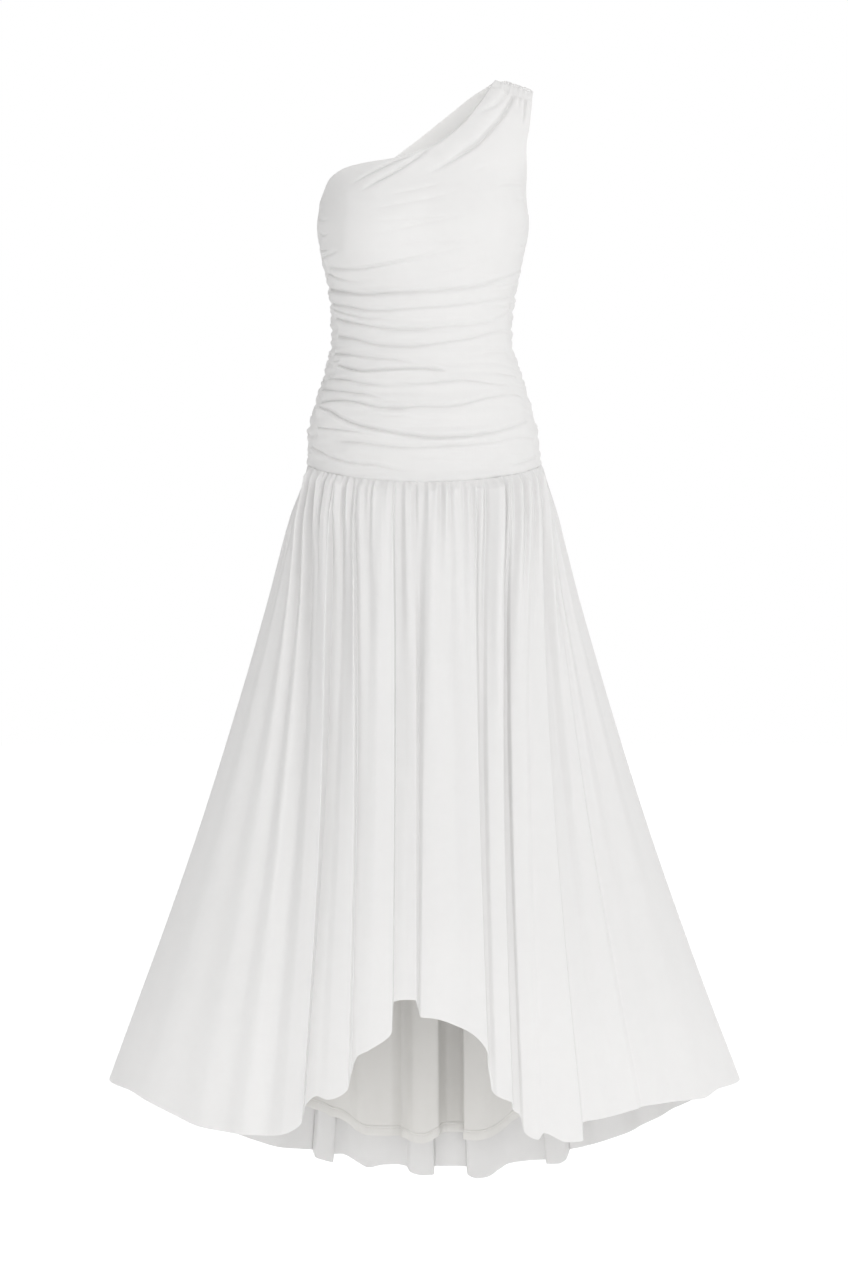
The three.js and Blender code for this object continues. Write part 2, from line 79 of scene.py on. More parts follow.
# Sewing lines that the bodice, skirt and lining share
SHOULDER_IN = (100.0, 538.0)
SHOULDER_OUT = (152.0, 521.0)
SHOULDER_ROUNDING = 120.0
UNDERARM_RIGHT = 388.0
WAIST_SAG = 29.0
SAG_POWER = 1.4
SEAM_GAP = 0.3
SEAM_TURN_IN = 0.12  # millimetres that the cloth turns in beside the waist seam
EDGE_TURN = 2.5  # millimetres over which the bodice's top edge is rounded
STITCH_DROP = 2.2  # millimetres from the top of the lining's turned-up hem down to its stitches
STRAP_LIFT = 4.2  # millimetres that the neckline and the seam stand higher at the strap than their tables
BODICE_ROUND = 410.0  # millimetres of cloth round one side of the bodice, which creases are measured on
FULLNESS = 1.6  # how full the rolls beside every crease are, against their figures
DEEPNESS = 0.6  # the same for the valleys


class Side(Enum):
    """The two sides of the dress, by the sign of their y."""

    FRONT = -1.0
    BACK = 1.0


class Held(Enum):
    GATHERED = "gathered"
    HUNG = "hung"


# ---------------------------------------------------------------------------------------------- small maths


def smooth(value: np.ndarray | float) -> np.ndarray:
    """Eases from 0 to 1.

    Args:
        value: Any numbers; below 0 gives 0 and above 1 gives 1.

    Returns:
        The eased numbers.
    """
    t = np.clip(value, 0.0, 1.0)
    return t * t * (3.0 - 2.0 * t)


def lerp(start: np.ndarray | float, end: np.ndarray | float, share: np.ndarray | float) -> np.ndarray:
    """Mixes two values: share 0 gives the start and 1 the end."""
    return start + (end - start) * share


class SmoothTable:
    """Columns of numbers that are read anywhere between their rows, on curves that never overshoot them."""

    def __init__(self, rows: Sequence[Sequence[float]]) -> None:
        """Works out the slope of each column at each row.

        Args:
            rows: The place of each row first, then its values. Places only rise or only fall.
        """
        table = np.array(rows, dtype=float)
        if table[0, 0] > table[-1, 0]:
            table = table[::-1]
        self.places = table[:, 0]
        self.values = table[:, 1:]
        slopes = np.diff(self.values, axis=0) / np.diff(self.places)[:, None]
        self.tangents = np.zeros_like(self.values)
        self.tangents[0], self.tangents[-1] = slopes[0], slopes[-1]
        product, total = slopes[:-1] * slopes[1:], slopes[:-1] + slopes[1:]
        level = np.where(total == 0.0, 1.0, total)
        self.tangents[1:-1] = np.where(product > 0.0, 2.0 * product / level, 0.0)

    def read(self, place: np.ndarray | float, column: int = 0) -> np.ndarray:
        """Reads one column.

        Args:
            place: Where to read it; past the ends it keeps the end's value.
            column: Which value, counted after the place.

        Returns:
            The values, in the shape of place.
        """
        at = np.clip(place, self.places[0], self.places[-1])
        i = np.clip(np.searchsorted(self.places, at, side="right") - 1, 0, len(self.places) - 2)
        h = self.places[i + 1] - self.places[i]
        t = (at - self.places[i]) / h
        v, m = self.values[:, column], self.tangents[:, column]
        return (
            (2 * t**3 - 3 * t**2 + 1) * v[i]
            + (t**3 - 2 * t**2 + t) * h * m[i]
            + (3 * t**2 - 2 * t**3) * v[i + 1]
            + (t**3 - t**2) * h * m[i + 1]
        )


def shoulder_height(x: np.ndarray | float) -> np.ndarray:
    """Height of the shoulder seam's line at a place across."""
    slope = (SHOULDER_OUT[1] - SHOULDER_IN[1]) / (SHOULDER_OUT[0] - SHOULDER_IN[0])
    return SHOULDER_IN[1] + slope * (x - SHOULDER_IN[0])


def waist_height(angle: np.ndarray) -> np.ndarray:
    """Height of the waist seam at an angle round the dress, 0 at the left side."""
    return -WAIST_SAG * np.maximum(np.sin(angle), 0.0) ** SAG_POWER


@dataclass(frozen=True)
class Form:
    """A smooth body form. Each row is z, left and right half-width, front and back depth, and squareness."""

    rows: tuple[tuple[float, ...], ...]

    def table(self) -> SmoothTable:
        """The rows as a table that can be read at any height."""
        return SmoothTable(self.rows)

    def half(self, angle: np.ndarray, z: np.ndarray) -> np.ndarray:
        """Half-width of the form on the side that an angle lies on."""
        table = self.table()
        return np.where(np.asarray(angle) < math.pi / 2, table.read(z, 0), table.read(z, 1))

    def depth(self, side: Side, z: np.ndarray) -> np.ndarray:
        """Depth of the form to the front or the back."""
        return self.table().read(z, 2 if side is Side.FRONT else 3)

    def point(self, side: Side, angle: np.ndarray, z: np.ndarray) -> np.ndarray:
        """Points on the form.

        Args:
            side: Front or back.
            angle: Angle round the form, from 0 at the left side to pi at the right.
            z: Heights.

        Returns:
            The points, with x, y and z last.
        """
        x = -self.half(angle, z) * np.cos(angle)
        drop = np.clip((shoulder_height(x) - z) / SHOULDER_ROUNDING, 0.0, 1.0)
        roll = np.sqrt(1.0 - (1.0 - drop) ** 2)
        curve = np.maximum(np.sin(angle), 0.0) ** self.table().read(z, 4)
        return np.stack((x, side.value * self.depth(side, z) * curve * roll, z + 0.0 * x), axis=-1)


DRESS_FORM = Form(
    (
        (-1100, 528, 528, 306, 356, 1), (-960, 478, 478, 286, 334, 1), (-858, 441, 441, 270, 316, 1),
        (-749, 401, 399, 252, 296, 1), (-637, 360, 358, 232, 275, 1), (-525, 321, 319, 212, 252, 1),
        (-413, 285, 283, 192, 228, 1), (-301, 251, 249, 172, 204, 1), (-189, 218, 216, 152, 178, 1),
        (-77, 188, 187, 130, 150, 1), (0, 163, 163, 110, 124, 1), (49, 161, 156, 105, 119, 1),
        (91, 149, 145, 98, 108, 1), (133, 136, 132, 91, 96, 0.98), (178, 128, 120, 87, 87, 0.95),
        (220, 129, 123, 90, 87, 0.9), (259, 135, 130, 98, 91, 0.84), (300, 144, 139, 110, 96, 0.78),
        (336, 150, 145, 117, 99, 0.76), (365, 147, 143, 114, 102, 0.76), (388, 148, 142, 108, 103, 0.78),
        (430, 150, 166, 97, 101, 0.86), (480, 150, 178, 87, 94, 0.95), (540, 150, 185, 80, 84, 1),
    )
)
LINING_FORM = Form(
    (
        (-1000, 352, 352, 218, 264, 1), (-858, 325, 325, 204, 246, 1), (-637, 281, 281, 180, 219, 1),
        (-413, 236, 236, 156, 188, 1), (-189, 196, 196, 131, 154, 1), (-77, 174, 174, 117, 135, 1),
        (-15, 159.5, 159.5, 106, 120, 1), (0, 159, 159, 106, 120, 1),
    )
)


# ------------------------------------------------------------------------------------------------- creases


@dataclass(frozen=True)
class Crease:
    """One crease: a valley along a line, with a roll of cloth on the right of the line's direction.

    The line's points are millimetres round the bodice from the left side seam, and heights.
    """

    line: tuple[tuple[float, float], ...]
    depth: float = 1.6
    width: float = 2.2
    roll: float = 1.8
    reach: float = 6.0
    over: float = 0.7  # the roll on the left of the line
    over_reach: float = 4.0
    fades: tuple[float, float] = (0.12, 0.12)

    def path(self) -> np.ndarray:
        """Draws the line as a smooth curve.

        Returns:
            Points a few millimetres apart.
        """
        points = np.array(self.line, dtype=float)
        ends = np.vstack((2 * points[0] - points[1], points, 2 * points[-1] - points[-2]))
        pieces = []
        for a, b, c, d in zip(ends[:-3], ends[1:-2], ends[2:-1], ends[3:]):
            count = max(int(np.linalg.norm(c - b) / 5.0), 1)
            t = np.arange(count)[:, None] / count
            pieces.append(
                0.5 * (2 * b + (c - a) * t + (2 * a - 5 * b + 4 * c - d) * t**2 + (3 * b - a - 3 * c + d) * t**3)
            )
        return np.vstack((*pieces, points[-1:]))

    def relief(self, across: np.ndarray, height: np.ndarray) -> np.ndarray:
        """How far the crease lifts the cloth.

        Args:
            across: Millimetres round the bodice of each point of the cloth.
            height: Height of each point.

        Returns:
            Millimetres outwards, in the shape of across.
        """
        path = self.path()
        margin = 5.0 * max(self.reach, self.over_reach, self.width)
        low, high = path.min(axis=0) - margin, path.max(axis=0) + margin
        near = (across > low[0]) & (across < high[0]) & (height > low[1]) & (height < high[1])
        lift = np.zeros(across.shape)
        if not near.any():
            return lift
        spot = np.stack((across[near], height[near]), axis=-1)
        start, step = path[:-1], np.diff(path, axis=0)
        size = np.linalg.norm(step, axis=1)
        run = np.concatenate(([0.0], np.cumsum(size)))
        nearest = np.full(len(spot), 1e9)
        beside = np.zeros(len(spot))
        along = np.zeros(len(spot))
        for k in range(len(start)):
            away = spot - start[k]
            t = np.clip(away @ step[k] / size[k] ** 2, 0.0, 1.0)
            gap = np.linalg.norm(away - t[:, None] * step[k], axis=1)
            closer = gap < nearest
            turn = step[k, 0] * away[:, 1] - step[k, 1] * away[:, 0]
            nearest = np.where(closer, gap, nearest)
            beside = np.where(closer, np.sign(turn), beside)
            along = np.where(closer, (run[k] + t * size[k]) / run[-1], along)
        fade = smooth(along / max(self.fades[0], 1e-3)) * smooth((1.0 - along) / max(self.fades[1], 1e-3))
        right = nearest / self.reach
        left = nearest / self.over_reach
        roll = np.where(
            beside < 0, self.roll * right * np.exp(1.0 - right), self.over * left * np.exp(1.0 - left)
        )
        lift[near] = fade * (FULLNESS * roll - DEEPNESS * self.depth * np.exp(-((nearest / (1.3 * self.width)) ** 2)))
        return lift


def on_bodice(x: float, z: float) -> tuple[float, float]:
    """A place in the front view as millimetres round the bodice and a height."""
    half = float(DRESS_FORM.half(np.array(0.0 if x < 0 else math.pi), np.array(z)))
    return math.acos(max(-1.0, min(1.0, -x / half))) / math.pi * BODICE_ROUND, z


def seen(*pixels: tuple[float, float], **shape: float | tuple[float, float]) -> Crease:
    """A crease of the front, by the pixels of the photograph that its valley runs through.

    Args:
        *pixels: Pixels from left to right, or from the shoulder down.
        **shape: Fields of the crease.

    Returns:
        The crease on the bodice.
    """
    scale = PHOTO_MM_A_PIXEL * 0.98  # the bodice's front is about 100 mm nearer than its sides
    line = []
    for px, py in pixels:
        z = PHOTO_CENTRE_HEIGHT + (PHOTO_CENTRE[1] - py) * scale
        line.append(on_bodice((px - PHOTO_CENTRE[0]) * scale, z))
    return Crease(tuple(line), **shape)


def behind(*places: tuple[float, float], **shape: float | tuple[float, float]) -> Crease:
    """A crease of the back, by shares of the way across from the left side seam, and heights.

    Args:
        *places: Share and height of each point, from left to right.
        **shape: Fields of the crease.

    Returns:
        The crease on the bodice.
    """
    return Crease(tuple((share * BODICE_ROUND, z) for share, z in places), **shape)


def tuck(edge: str, z: float, length: float, rise: float, depth: float) -> Crease:
    """A short pucker where the ruching is caught in a side seam.

    Args:
        edge: "left" or "right" side seam.
        z: Its height at the seam.
        length: How far it runs into the panel.
        rise: How much higher its inner end is.
        depth: How deep it is.

    Returns:
        The crease on the bodice.
    """
    if edge == "left":
        line = ((-2.0, z), (length * 0.5, z + rise * 0.35), (length, z + rise))
        fades = (0.0, 0.7)
    else:
        line = (
            (BODICE_ROUND - length, z + rise),
            (BODICE_ROUND - length * 0.5, z + rise * 0.35),
            (BODICE_ROUND + 2.0, z),
        )
        fades = (0.7, 0.0)
    return Crease(
        line, depth=depth, width=1.7, roll=depth * 1.1, reach=3.6, over=depth * 0.5, over_reach=2.6, fades=fades,
    )


FRONT_CREASES: tuple[Crease, ...] = (
    # Under the bust
    seen(
        (331, 262), (345, 265), (365, 266), (385, 263.5), (405, 260.5), (430, 256), (452, 250), depth=1.5,
        roll=1.5, reach=5, over=1.6, over_reach=5, fades=(0.05, 0.5),
    ),
    seen((328, 268), (337, 273), (347, 277), (365, 280), depth=1.4, roll=1.3, reach=4, over=0.6, fades=(0.02, 0.5)),
    seen(
        (329, 283), (343, 288), (361, 292), (385, 292), (415, 291), (445, 289), (475, 285), (495, 279), (511, 272),
        (521, 264), depth=2.3, width=1.9, roll=2.4, reach=6.5, over=0.9, fades=(0.02, 0.06),
    ),
    seen((485, 287), (503, 282), (515, 276), depth=1.2, width=1.8, roll=1.0, reach=4, fades=(0.4, 0.05)),
    seen(
        (333, 298), (347, 303), (365, 308), (385, 309), (415, 307), (445, 305), (475, 301), (495, 297), (513, 291),
        depth=1.7, roll=1.8, reach=5.5, fades=(0.02, 0.06),
    ),
    seen((485, 307), (503, 304), (512, 301), depth=1.1, width=1.8, roll=1.0, reach=3.5, fades=(0.4, 0.05)),
    seen((335, 304), (355, 313), (375, 317), (395, 318), (411, 319), depth=1.2, roll=1.2, reach=4, fades=(0.02, 0.45)),
    seen(
        (336, 313), (347, 318), (365, 323), (385, 327), (415, 328), (445, 325), (469, 323), (489, 319), (505, 311),
        (512, 305), depth=1.9, roll=2.0, reach=6, fades=(0.02, 0.06),
    ),
    seen(
        (337, 331), (355, 337), (375, 343), (395, 345), (415, 345), (445, 341), (465, 338), (481, 333), (495, 329),
        (510, 328), depth=1.8, roll=2.0, reach=6.5, fades=(0.02, 0.06),
    ),
    seen(
        (334, 349), (355, 354), (375, 357), (395, 359), (415, 363), (435, 365), depth=1.5, roll=1.5, reach=4.5,
        fades=(0.02, 0.4),
    ),
    seen((480, 352), (491, 350), (507, 349), depth=1.2, width=1.8, roll=1.1, reach=4, fades=(0.4, 0.03)),
    seen((334, 358), (339, 358), (343, 358), depth=1.0, width=1.6, roll=0.9, reach=3, fades=(0.02, 0.4)),
    seen(
        (338, 362), (353, 368), (365, 370), (385, 369), (407, 368), (425, 368), (449, 370), depth=2.3, width=1.9,
        roll=2.4, reach=5.5, over=1.1, fades=(0.03, 0.09),
    ),
    seen((493, 371), (505, 372), (517, 373), depth=1.1, width=1.8, roll=1.1, reach=4, fades=(0.4, 0.03)),
    seen(
        (328, 375), (345, 378), (365, 383), (385, 385), (400, 384), depth=1.6, roll=1.6, reach=4.5,
        fades=(0.02, 0.35),
    ),
    seen(
        (395, 380), (415, 383), (435, 382), (459, 379), (475, 380), (493, 382), (512, 383), depth=1.5, roll=1.6,
        reach=5.5, fades=(0.25, 0.1),
    ),
    seen(
        (321, 385), (335, 389), (355, 392), (375, 396), (395, 401), depth=1.5, roll=1.5, reach=4.5,
        fades=(0.02, 0.35),
    ),
    seen(
        (320, 401), (335, 399), (355, 401), (375, 406), (399, 408), (415, 406), (445, 406), (465, 403), (485, 397),
        (505, 393), (517, 392), (525, 395), depth=2.0, width=2.0, roll=2.1, reach=6, over=1.0, fades=(0.02, 0.04),
    ),
    seen(
        (318, 404), (329, 409), (341, 417), (359, 425), (385, 431), (415, 436), (435, 438), (455, 437), (475, 435),
        (495, 431), (511, 426), (521, 422), (529, 417), depth=2.5, width=2.0, roll=2.5, reach=6, over=1.0,
        fades=(0.02, 0.04),
    ),
    seen((361, 414), (380, 416), (403, 416.5), (424, 415), depth=0.8, width=3, roll=1.1, reach=6, fades=(0.4, 0.5)),
    seen((317, 425), (335, 428), (355, 431), (375, 435), (391, 437), depth=1.5, roll=1.4, reach=3.8, fades=(0.02, 0.4)),
    seen(
        (333, 438), (350, 441), (365, 443), (395, 447), (415, 448), (435, 447), (465, 445), (495, 441), (515, 436),
        (536, 436), depth=1.7, roll=1.8, reach=6, fades=(0.12, 0.05),
    ),
    seen(
        (310, 443), (321, 451), (335, 458), (355, 463), (375, 465), (395, 470), (409, 471), (421, 468), depth=1.6,
        roll=1.3, reach=4.2, fades=(0.02, 0.3),
    ),
    seen((497, 467), (507, 465), (523, 461), (538, 455), depth=1.3, width=1.9, roll=1.1, reach=4, fades=(0.35, 0.03)),
    # Folds from the shoulder across the chest, and under the bust on both sides
    seen(
        (514.5, 88), (510, 99), (503, 112), (492, 126), (479, 141), (464.5, 152), (448, 163), (435.5, 170),
        (420, 178), depth=7.0, width=2.1, roll=5.6, reach=13, over=0.5, over_reach=7, fades=(0.03, 0.55),
    ),
    seen(
        (508, 86), (503, 94), (495.5, 102), (484.5, 109), (477, 114), depth=3.6, width=2.6, roll=3.0, reach=8,
        over=0.4, fades=(0.1, 0.5),
    ),
    seen(
        (361, 194), (369, 189), (383, 180), (401, 169), (419, 156), (431, 146), depth=3.0, width=1.8, roll=1.6,
        reach=7, over=0.9, over_reach=6, fades=(0.35, 0.1),
    ),
    seen(
        (350, 187), (370, 174), (394, 162), (417, 153), depth=2.6, width=1.8, roll=1.4, reach=6, over=0.7,
        over_reach=5, fades=(0.4, 0.15),
    ),
    seen(
        (521, 89), (519.5, 97), (519, 106), depth=2.6, width=1.6, roll=2.0, reach=4, over=1.4, over_reach=3,
        fades=(0.1, 0.7),
    ),
    seen(
        (526.5, 91), (525.5, 105), (523.6, 123), depth=3.6, width=1.8, roll=2.4, reach=5, over=1.8, over_reach=3.5,
        fades=(0.08, 0.5),
    ),
    seen(
        (464.5, 173.6), (488, 164.5), (502, 159), depth=0.7, width=3.5, roll=0.7, reach=7, over=0.7, over_reach=7,
        fades=(0.5, 0.5),
    ),
    seen(
        (487, 187), (499, 184), (510, 181), (522, 180), depth=1.3, width=1.8, roll=0.9, reach=5, over=0.7,
        fades=(0.5, 0.04),
    ),
    seen(
        (507, 200.5), (512, 199), (519, 197), (525.5, 194), depth=1.2, width=1.7, roll=0.9, reach=4, over=0.6,
        fades=(0.5, 0.04),
    ),
    seen((512, 246), (519, 243), (526, 239), depth=1.4, width=1.8, roll=1.2, reach=4.5, over=0.9, fades=(0.5, 0.03)),
    seen((517, 229), (522, 224), (526, 218), depth=0.8, width=1.8, roll=0.7, reach=4, over=0.5, fades=(0.5, 0.03)),
    seen((324, 252), (337, 249), (346, 244.5), depth=1.2, width=1.8, roll=1.0, reach=4, over=0.9, fades=(0.03, 0.5)),
    seen(
        (321, 244.5), (329, 245.8), (337, 245), depth=1.0, width=1.6, roll=0.8, reach=3.4, over=0.6,
        fades=(0.03, 0.5),
    ),
    seen((319, 228), (324, 231), (332, 230), depth=0.8, width=1.8, roll=0.7, reach=3.6, over=0.6, fades=(0.03, 0.6)),
    seen((318, 213), (324, 217), (333, 217), depth=0.6, width=2.0, roll=0.6, reach=4, over=0.5, fades=(0.03, 0.6)),
    # Soft bands across the bust that rise to the right
    seen(
        (362, 214), (400, 206), (440, 197), (475, 184), depth=0.7, width=5, roll=0.8, reach=8, over=0.6,
        over_reach=8, fades=(0.4, 0.4),
    ),
    seen(
        (366, 235), (400, 229), (440, 221), (480, 212), depth=0.6, width=5, roll=0.7, reach=8, over=0.5,
        over_reach=8, fades=(0.4, 0.4),
    ),
    seen(
        (365, 222), (390, 221), (430, 219), (468, 213), depth=0.6, width=5, roll=0.7, reach=7, over=0.5,
        over_reach=6, fades=(0.4, 0.4),
    ),
    seen(
        (373, 244), (420, 243), (455, 240), (484, 234), depth=0.7, width=5, roll=0.7, reach=7, over=0.5,
        over_reach=6, fades=(0.4, 0.4),
    ),
    seen(
        (385, 198), (420, 190), (450, 181), depth=0.6, width=4, roll=0.6, reach=7, over=0.5, over_reach=6,
        fades=(0.4, 0.4),
    ),
    seen(
        (395, 262), (430, 255), (465, 246), (495, 236), depth=0.5, width=5, roll=0.8, reach=8, over=0.5,
        over_reach=7, fades=(0.4, 0.4),
    ),
    seen(
        (420, 276), (450, 270), (480, 261), (500, 252), depth=0.5, width=4, roll=0.7, reach=6, over=0.4,
        over_reach=6, fades=(0.4, 0.4),
    ),
)

# Where the ruching is caught in the side seams, between the long creases: height at the seam, length into
# the panel, rise and depth
LEFT_TUCKS = (
    (12, 26, -6, 0.8), (44, 20, -7, 0.7), (71, 34, -9, 0.9), (99, 18, -5, 0.7), (119, 30, -7, 0.8), (137, 22, -4, 0.7),
    (156, 16, -3, 0.6), (176, 32, -6, 0.9), (200, 22, -5, 0.7), (219, 28, -6, 0.8), (239, 20, -4, 0.7), (
        262, 34, -5, 0.8,
    ),
    (284, 24, 4, 0.7), (304, 20, 5, 0.6), (322, 26, 4, 0.5),
)
RIGHT_TUCKS = (
    (20, 22, 4, 0.7), (52, 30, -5, 0.8), (78, 18, -4, 0.6), (90, 34, -6, 0.8), (112, 20, -3, 0.7), (133, 28, -3, 0.8),
    (153, 20, -2, 0.7), (176, 26, -3, 0.8), (204, 18, -3, 0.7), (228, 30, -6, 0.8), (250, 22, -5, 0.7), (
        270, 26, -7, 0.8,
    ),
    (290, 20, -6, 0.6), (318, 18, -5, 0.6), (352, 24, -6, 0.6),
)
BACK_CREASES: tuple[Crease, ...] = (
    behind(
        (0.0, 27), (0.12, 14), (0.27, 5), (0.45, -7), (0.66, -4), (0.8, 3), depth=1.6, roll=1.3, reach=4.2,
        fades=(0.02, 0.3),
    ),
    behind((0.55, 6), (0.72, 8), (0.88, 10), (1.0, 8), depth=1.3, roll=1.1, reach=4, fades=(0.4, 0.03)),
    behind(
        (0.0, 56), (0.14, 44), (0.3, 33), (0.5, 26), (0.7, 24), (0.86, 30), (1.0, 41), depth=2.2, roll=2.3,
        reach=6, fades=(0.02, 0.05),
    ),
    behind((0.0, 87), (0.1, 76), (0.25, 66), (0.4, 60), (0.55, 55), depth=1.6, roll=1.5, reach=5, fades=(0.02, 0.4)),
    behind((0.42, 50), (0.6, 44), (0.8, 46), (0.93, 55), (1.0, 62), depth=1.9, roll=2.0, reach=5.5, fades=(0.35, 0.03)),
    behind(
        (0.0, 111), (0.13, 100), (0.3, 91), (0.5, 84), (0.68, 79), (0.85, 86), (1.0, 99), depth=2.3, roll=2.4,
        reach=6.5, over=1.0, fades=(0.02, 0.05),
    ),
    behind((0.0, 127), (0.15, 117), (0.31, 108), (0.46, 104), depth=1.5, roll=1.5, reach=4.5, fades=(0.02, 0.4)),
    behind((0.5, 108), (0.68, 103), (0.86, 110), (1.0, 122), depth=1.7, roll=1.8, reach=5, fades=(0.3, 0.03)),
    behind(
        (0.0, 149), (0.12, 140), (0.28, 132), (0.48, 127), (0.63, 124), depth=2.0, roll=2.1, reach=5.5,
        fades=(0.02, 0.2),
    ),
    behind((0.7, 124), (0.86, 131), (1.0, 140), depth=1.3, roll=1.2, reach=4, fades=(0.4, 0.03)),
    behind(
        (0.0, 163), (0.16, 154), (0.34, 147), (0.52, 146), (0.74, 149), (0.9, 157), (1.0, 164), depth=1.8,
        roll=1.9, reach=6, fades=(0.02, 0.05),
    ),
    behind((0.0, 189), (0.12, 181), (0.27, 174), (0.45, 169), depth=1.5, roll=1.5, reach=4.5, fades=(0.02, 0.4)),
    behind(
        (0.38, 166), (0.56, 166), (0.74, 171), (0.89, 181), (1.0, 192), depth=2.1, roll=2.2, reach=6,
        fades=(0.3, 0.04),
    ),
    behind(
        (0.0, 211), (0.14, 203), (0.3, 196), (0.5, 190), (0.7, 194), (0.87, 205), (1.0, 217), depth=1.9, roll=2.0,
        reach=6, fades=(0.02, 0.05),
    ),
    behind((0.0, 227), (0.12, 221), (0.26, 214), (0.4, 211), depth=1.3, roll=1.2, reach=4, fades=(0.02, 0.4)),
    behind(
        (0.34, 208), (0.52, 211), (0.72, 218), (0.88, 228), (1.0, 238), depth=1.8, roll=1.9, reach=5.5,
        fades=(0.35, 0.04),
    ),
    behind(
        (0.0, 250), (0.14, 243), (0.31, 237), (0.5, 236), (0.68, 242), (0.86, 253), (1.0, 263), depth=2.0,
        roll=2.1, reach=6, fades=(0.02, 0.05),
    ),
    behind(
        (0.0, 273), (0.13, 266), (0.28, 259), (0.46, 256), (0.62, 258), depth=1.6, roll=1.5, reach=5,
        fades=(0.02, 0.35),
    ),
    behind((0.66, 262), (0.84, 269), (1.0, 278), depth=1.3, roll=1.3, reach=4.2, fades=(0.4, 0.03)),
    behind(
        (0.0, 293), (0.15, 288), (0.33, 283), (0.53, 285), (0.74, 292), (0.9, 299), (1.0, 302), depth=1.5,
        roll=1.5, reach=5.5, fades=(0.02, 0.05),
    ),
    behind((0.0, 318), (0.1, 320), (0.22, 326), (0.34, 334), depth=1.0, roll=0.9, reach=4.5, fades=(0.03, 0.6)),
    behind((0.74, 322), (0.88, 324), (1.0, 330), depth=1.0, roll=0.9, reach=4.5, fades=(0.6, 0.03)),
    # Folds up to the shoulder
    behind(
        (0.36, 372), (0.5, 404), (0.62, 440), (0.71, 478), (0.755, 516), depth=1.8, width=2.4, roll=1.8, reach=7,
        over=1.2, over_reach=6, fades=(0.5, 0.06),
    ),
    behind(
        (0.55, 380), (0.66, 412), (0.75, 452), (0.8, 492), (0.815, 518), depth=1.5, width=2.2, roll=1.4, reach=6,
        over=1.2, over_reach=5, fades=(0.5, 0.08),
    ),
    behind(
        (0.83, 440), (0.845, 475), (0.85, 512), depth=1.3, width=1.8, roll=1.1, reach=4, over=0.9, over_reach=4,
        fades=(0.6, 0.08),
    ),
    behind(
        (0.2, 350), (0.4, 366), (0.6, 374), (0.8, 372), depth=0.6, width=5, roll=0.7, reach=9, over=0.6,
        over_reach=8, fades=(0.4, 0.4),
    ),
)


# --------------------------------------------------------------------------------------------- cloth walls


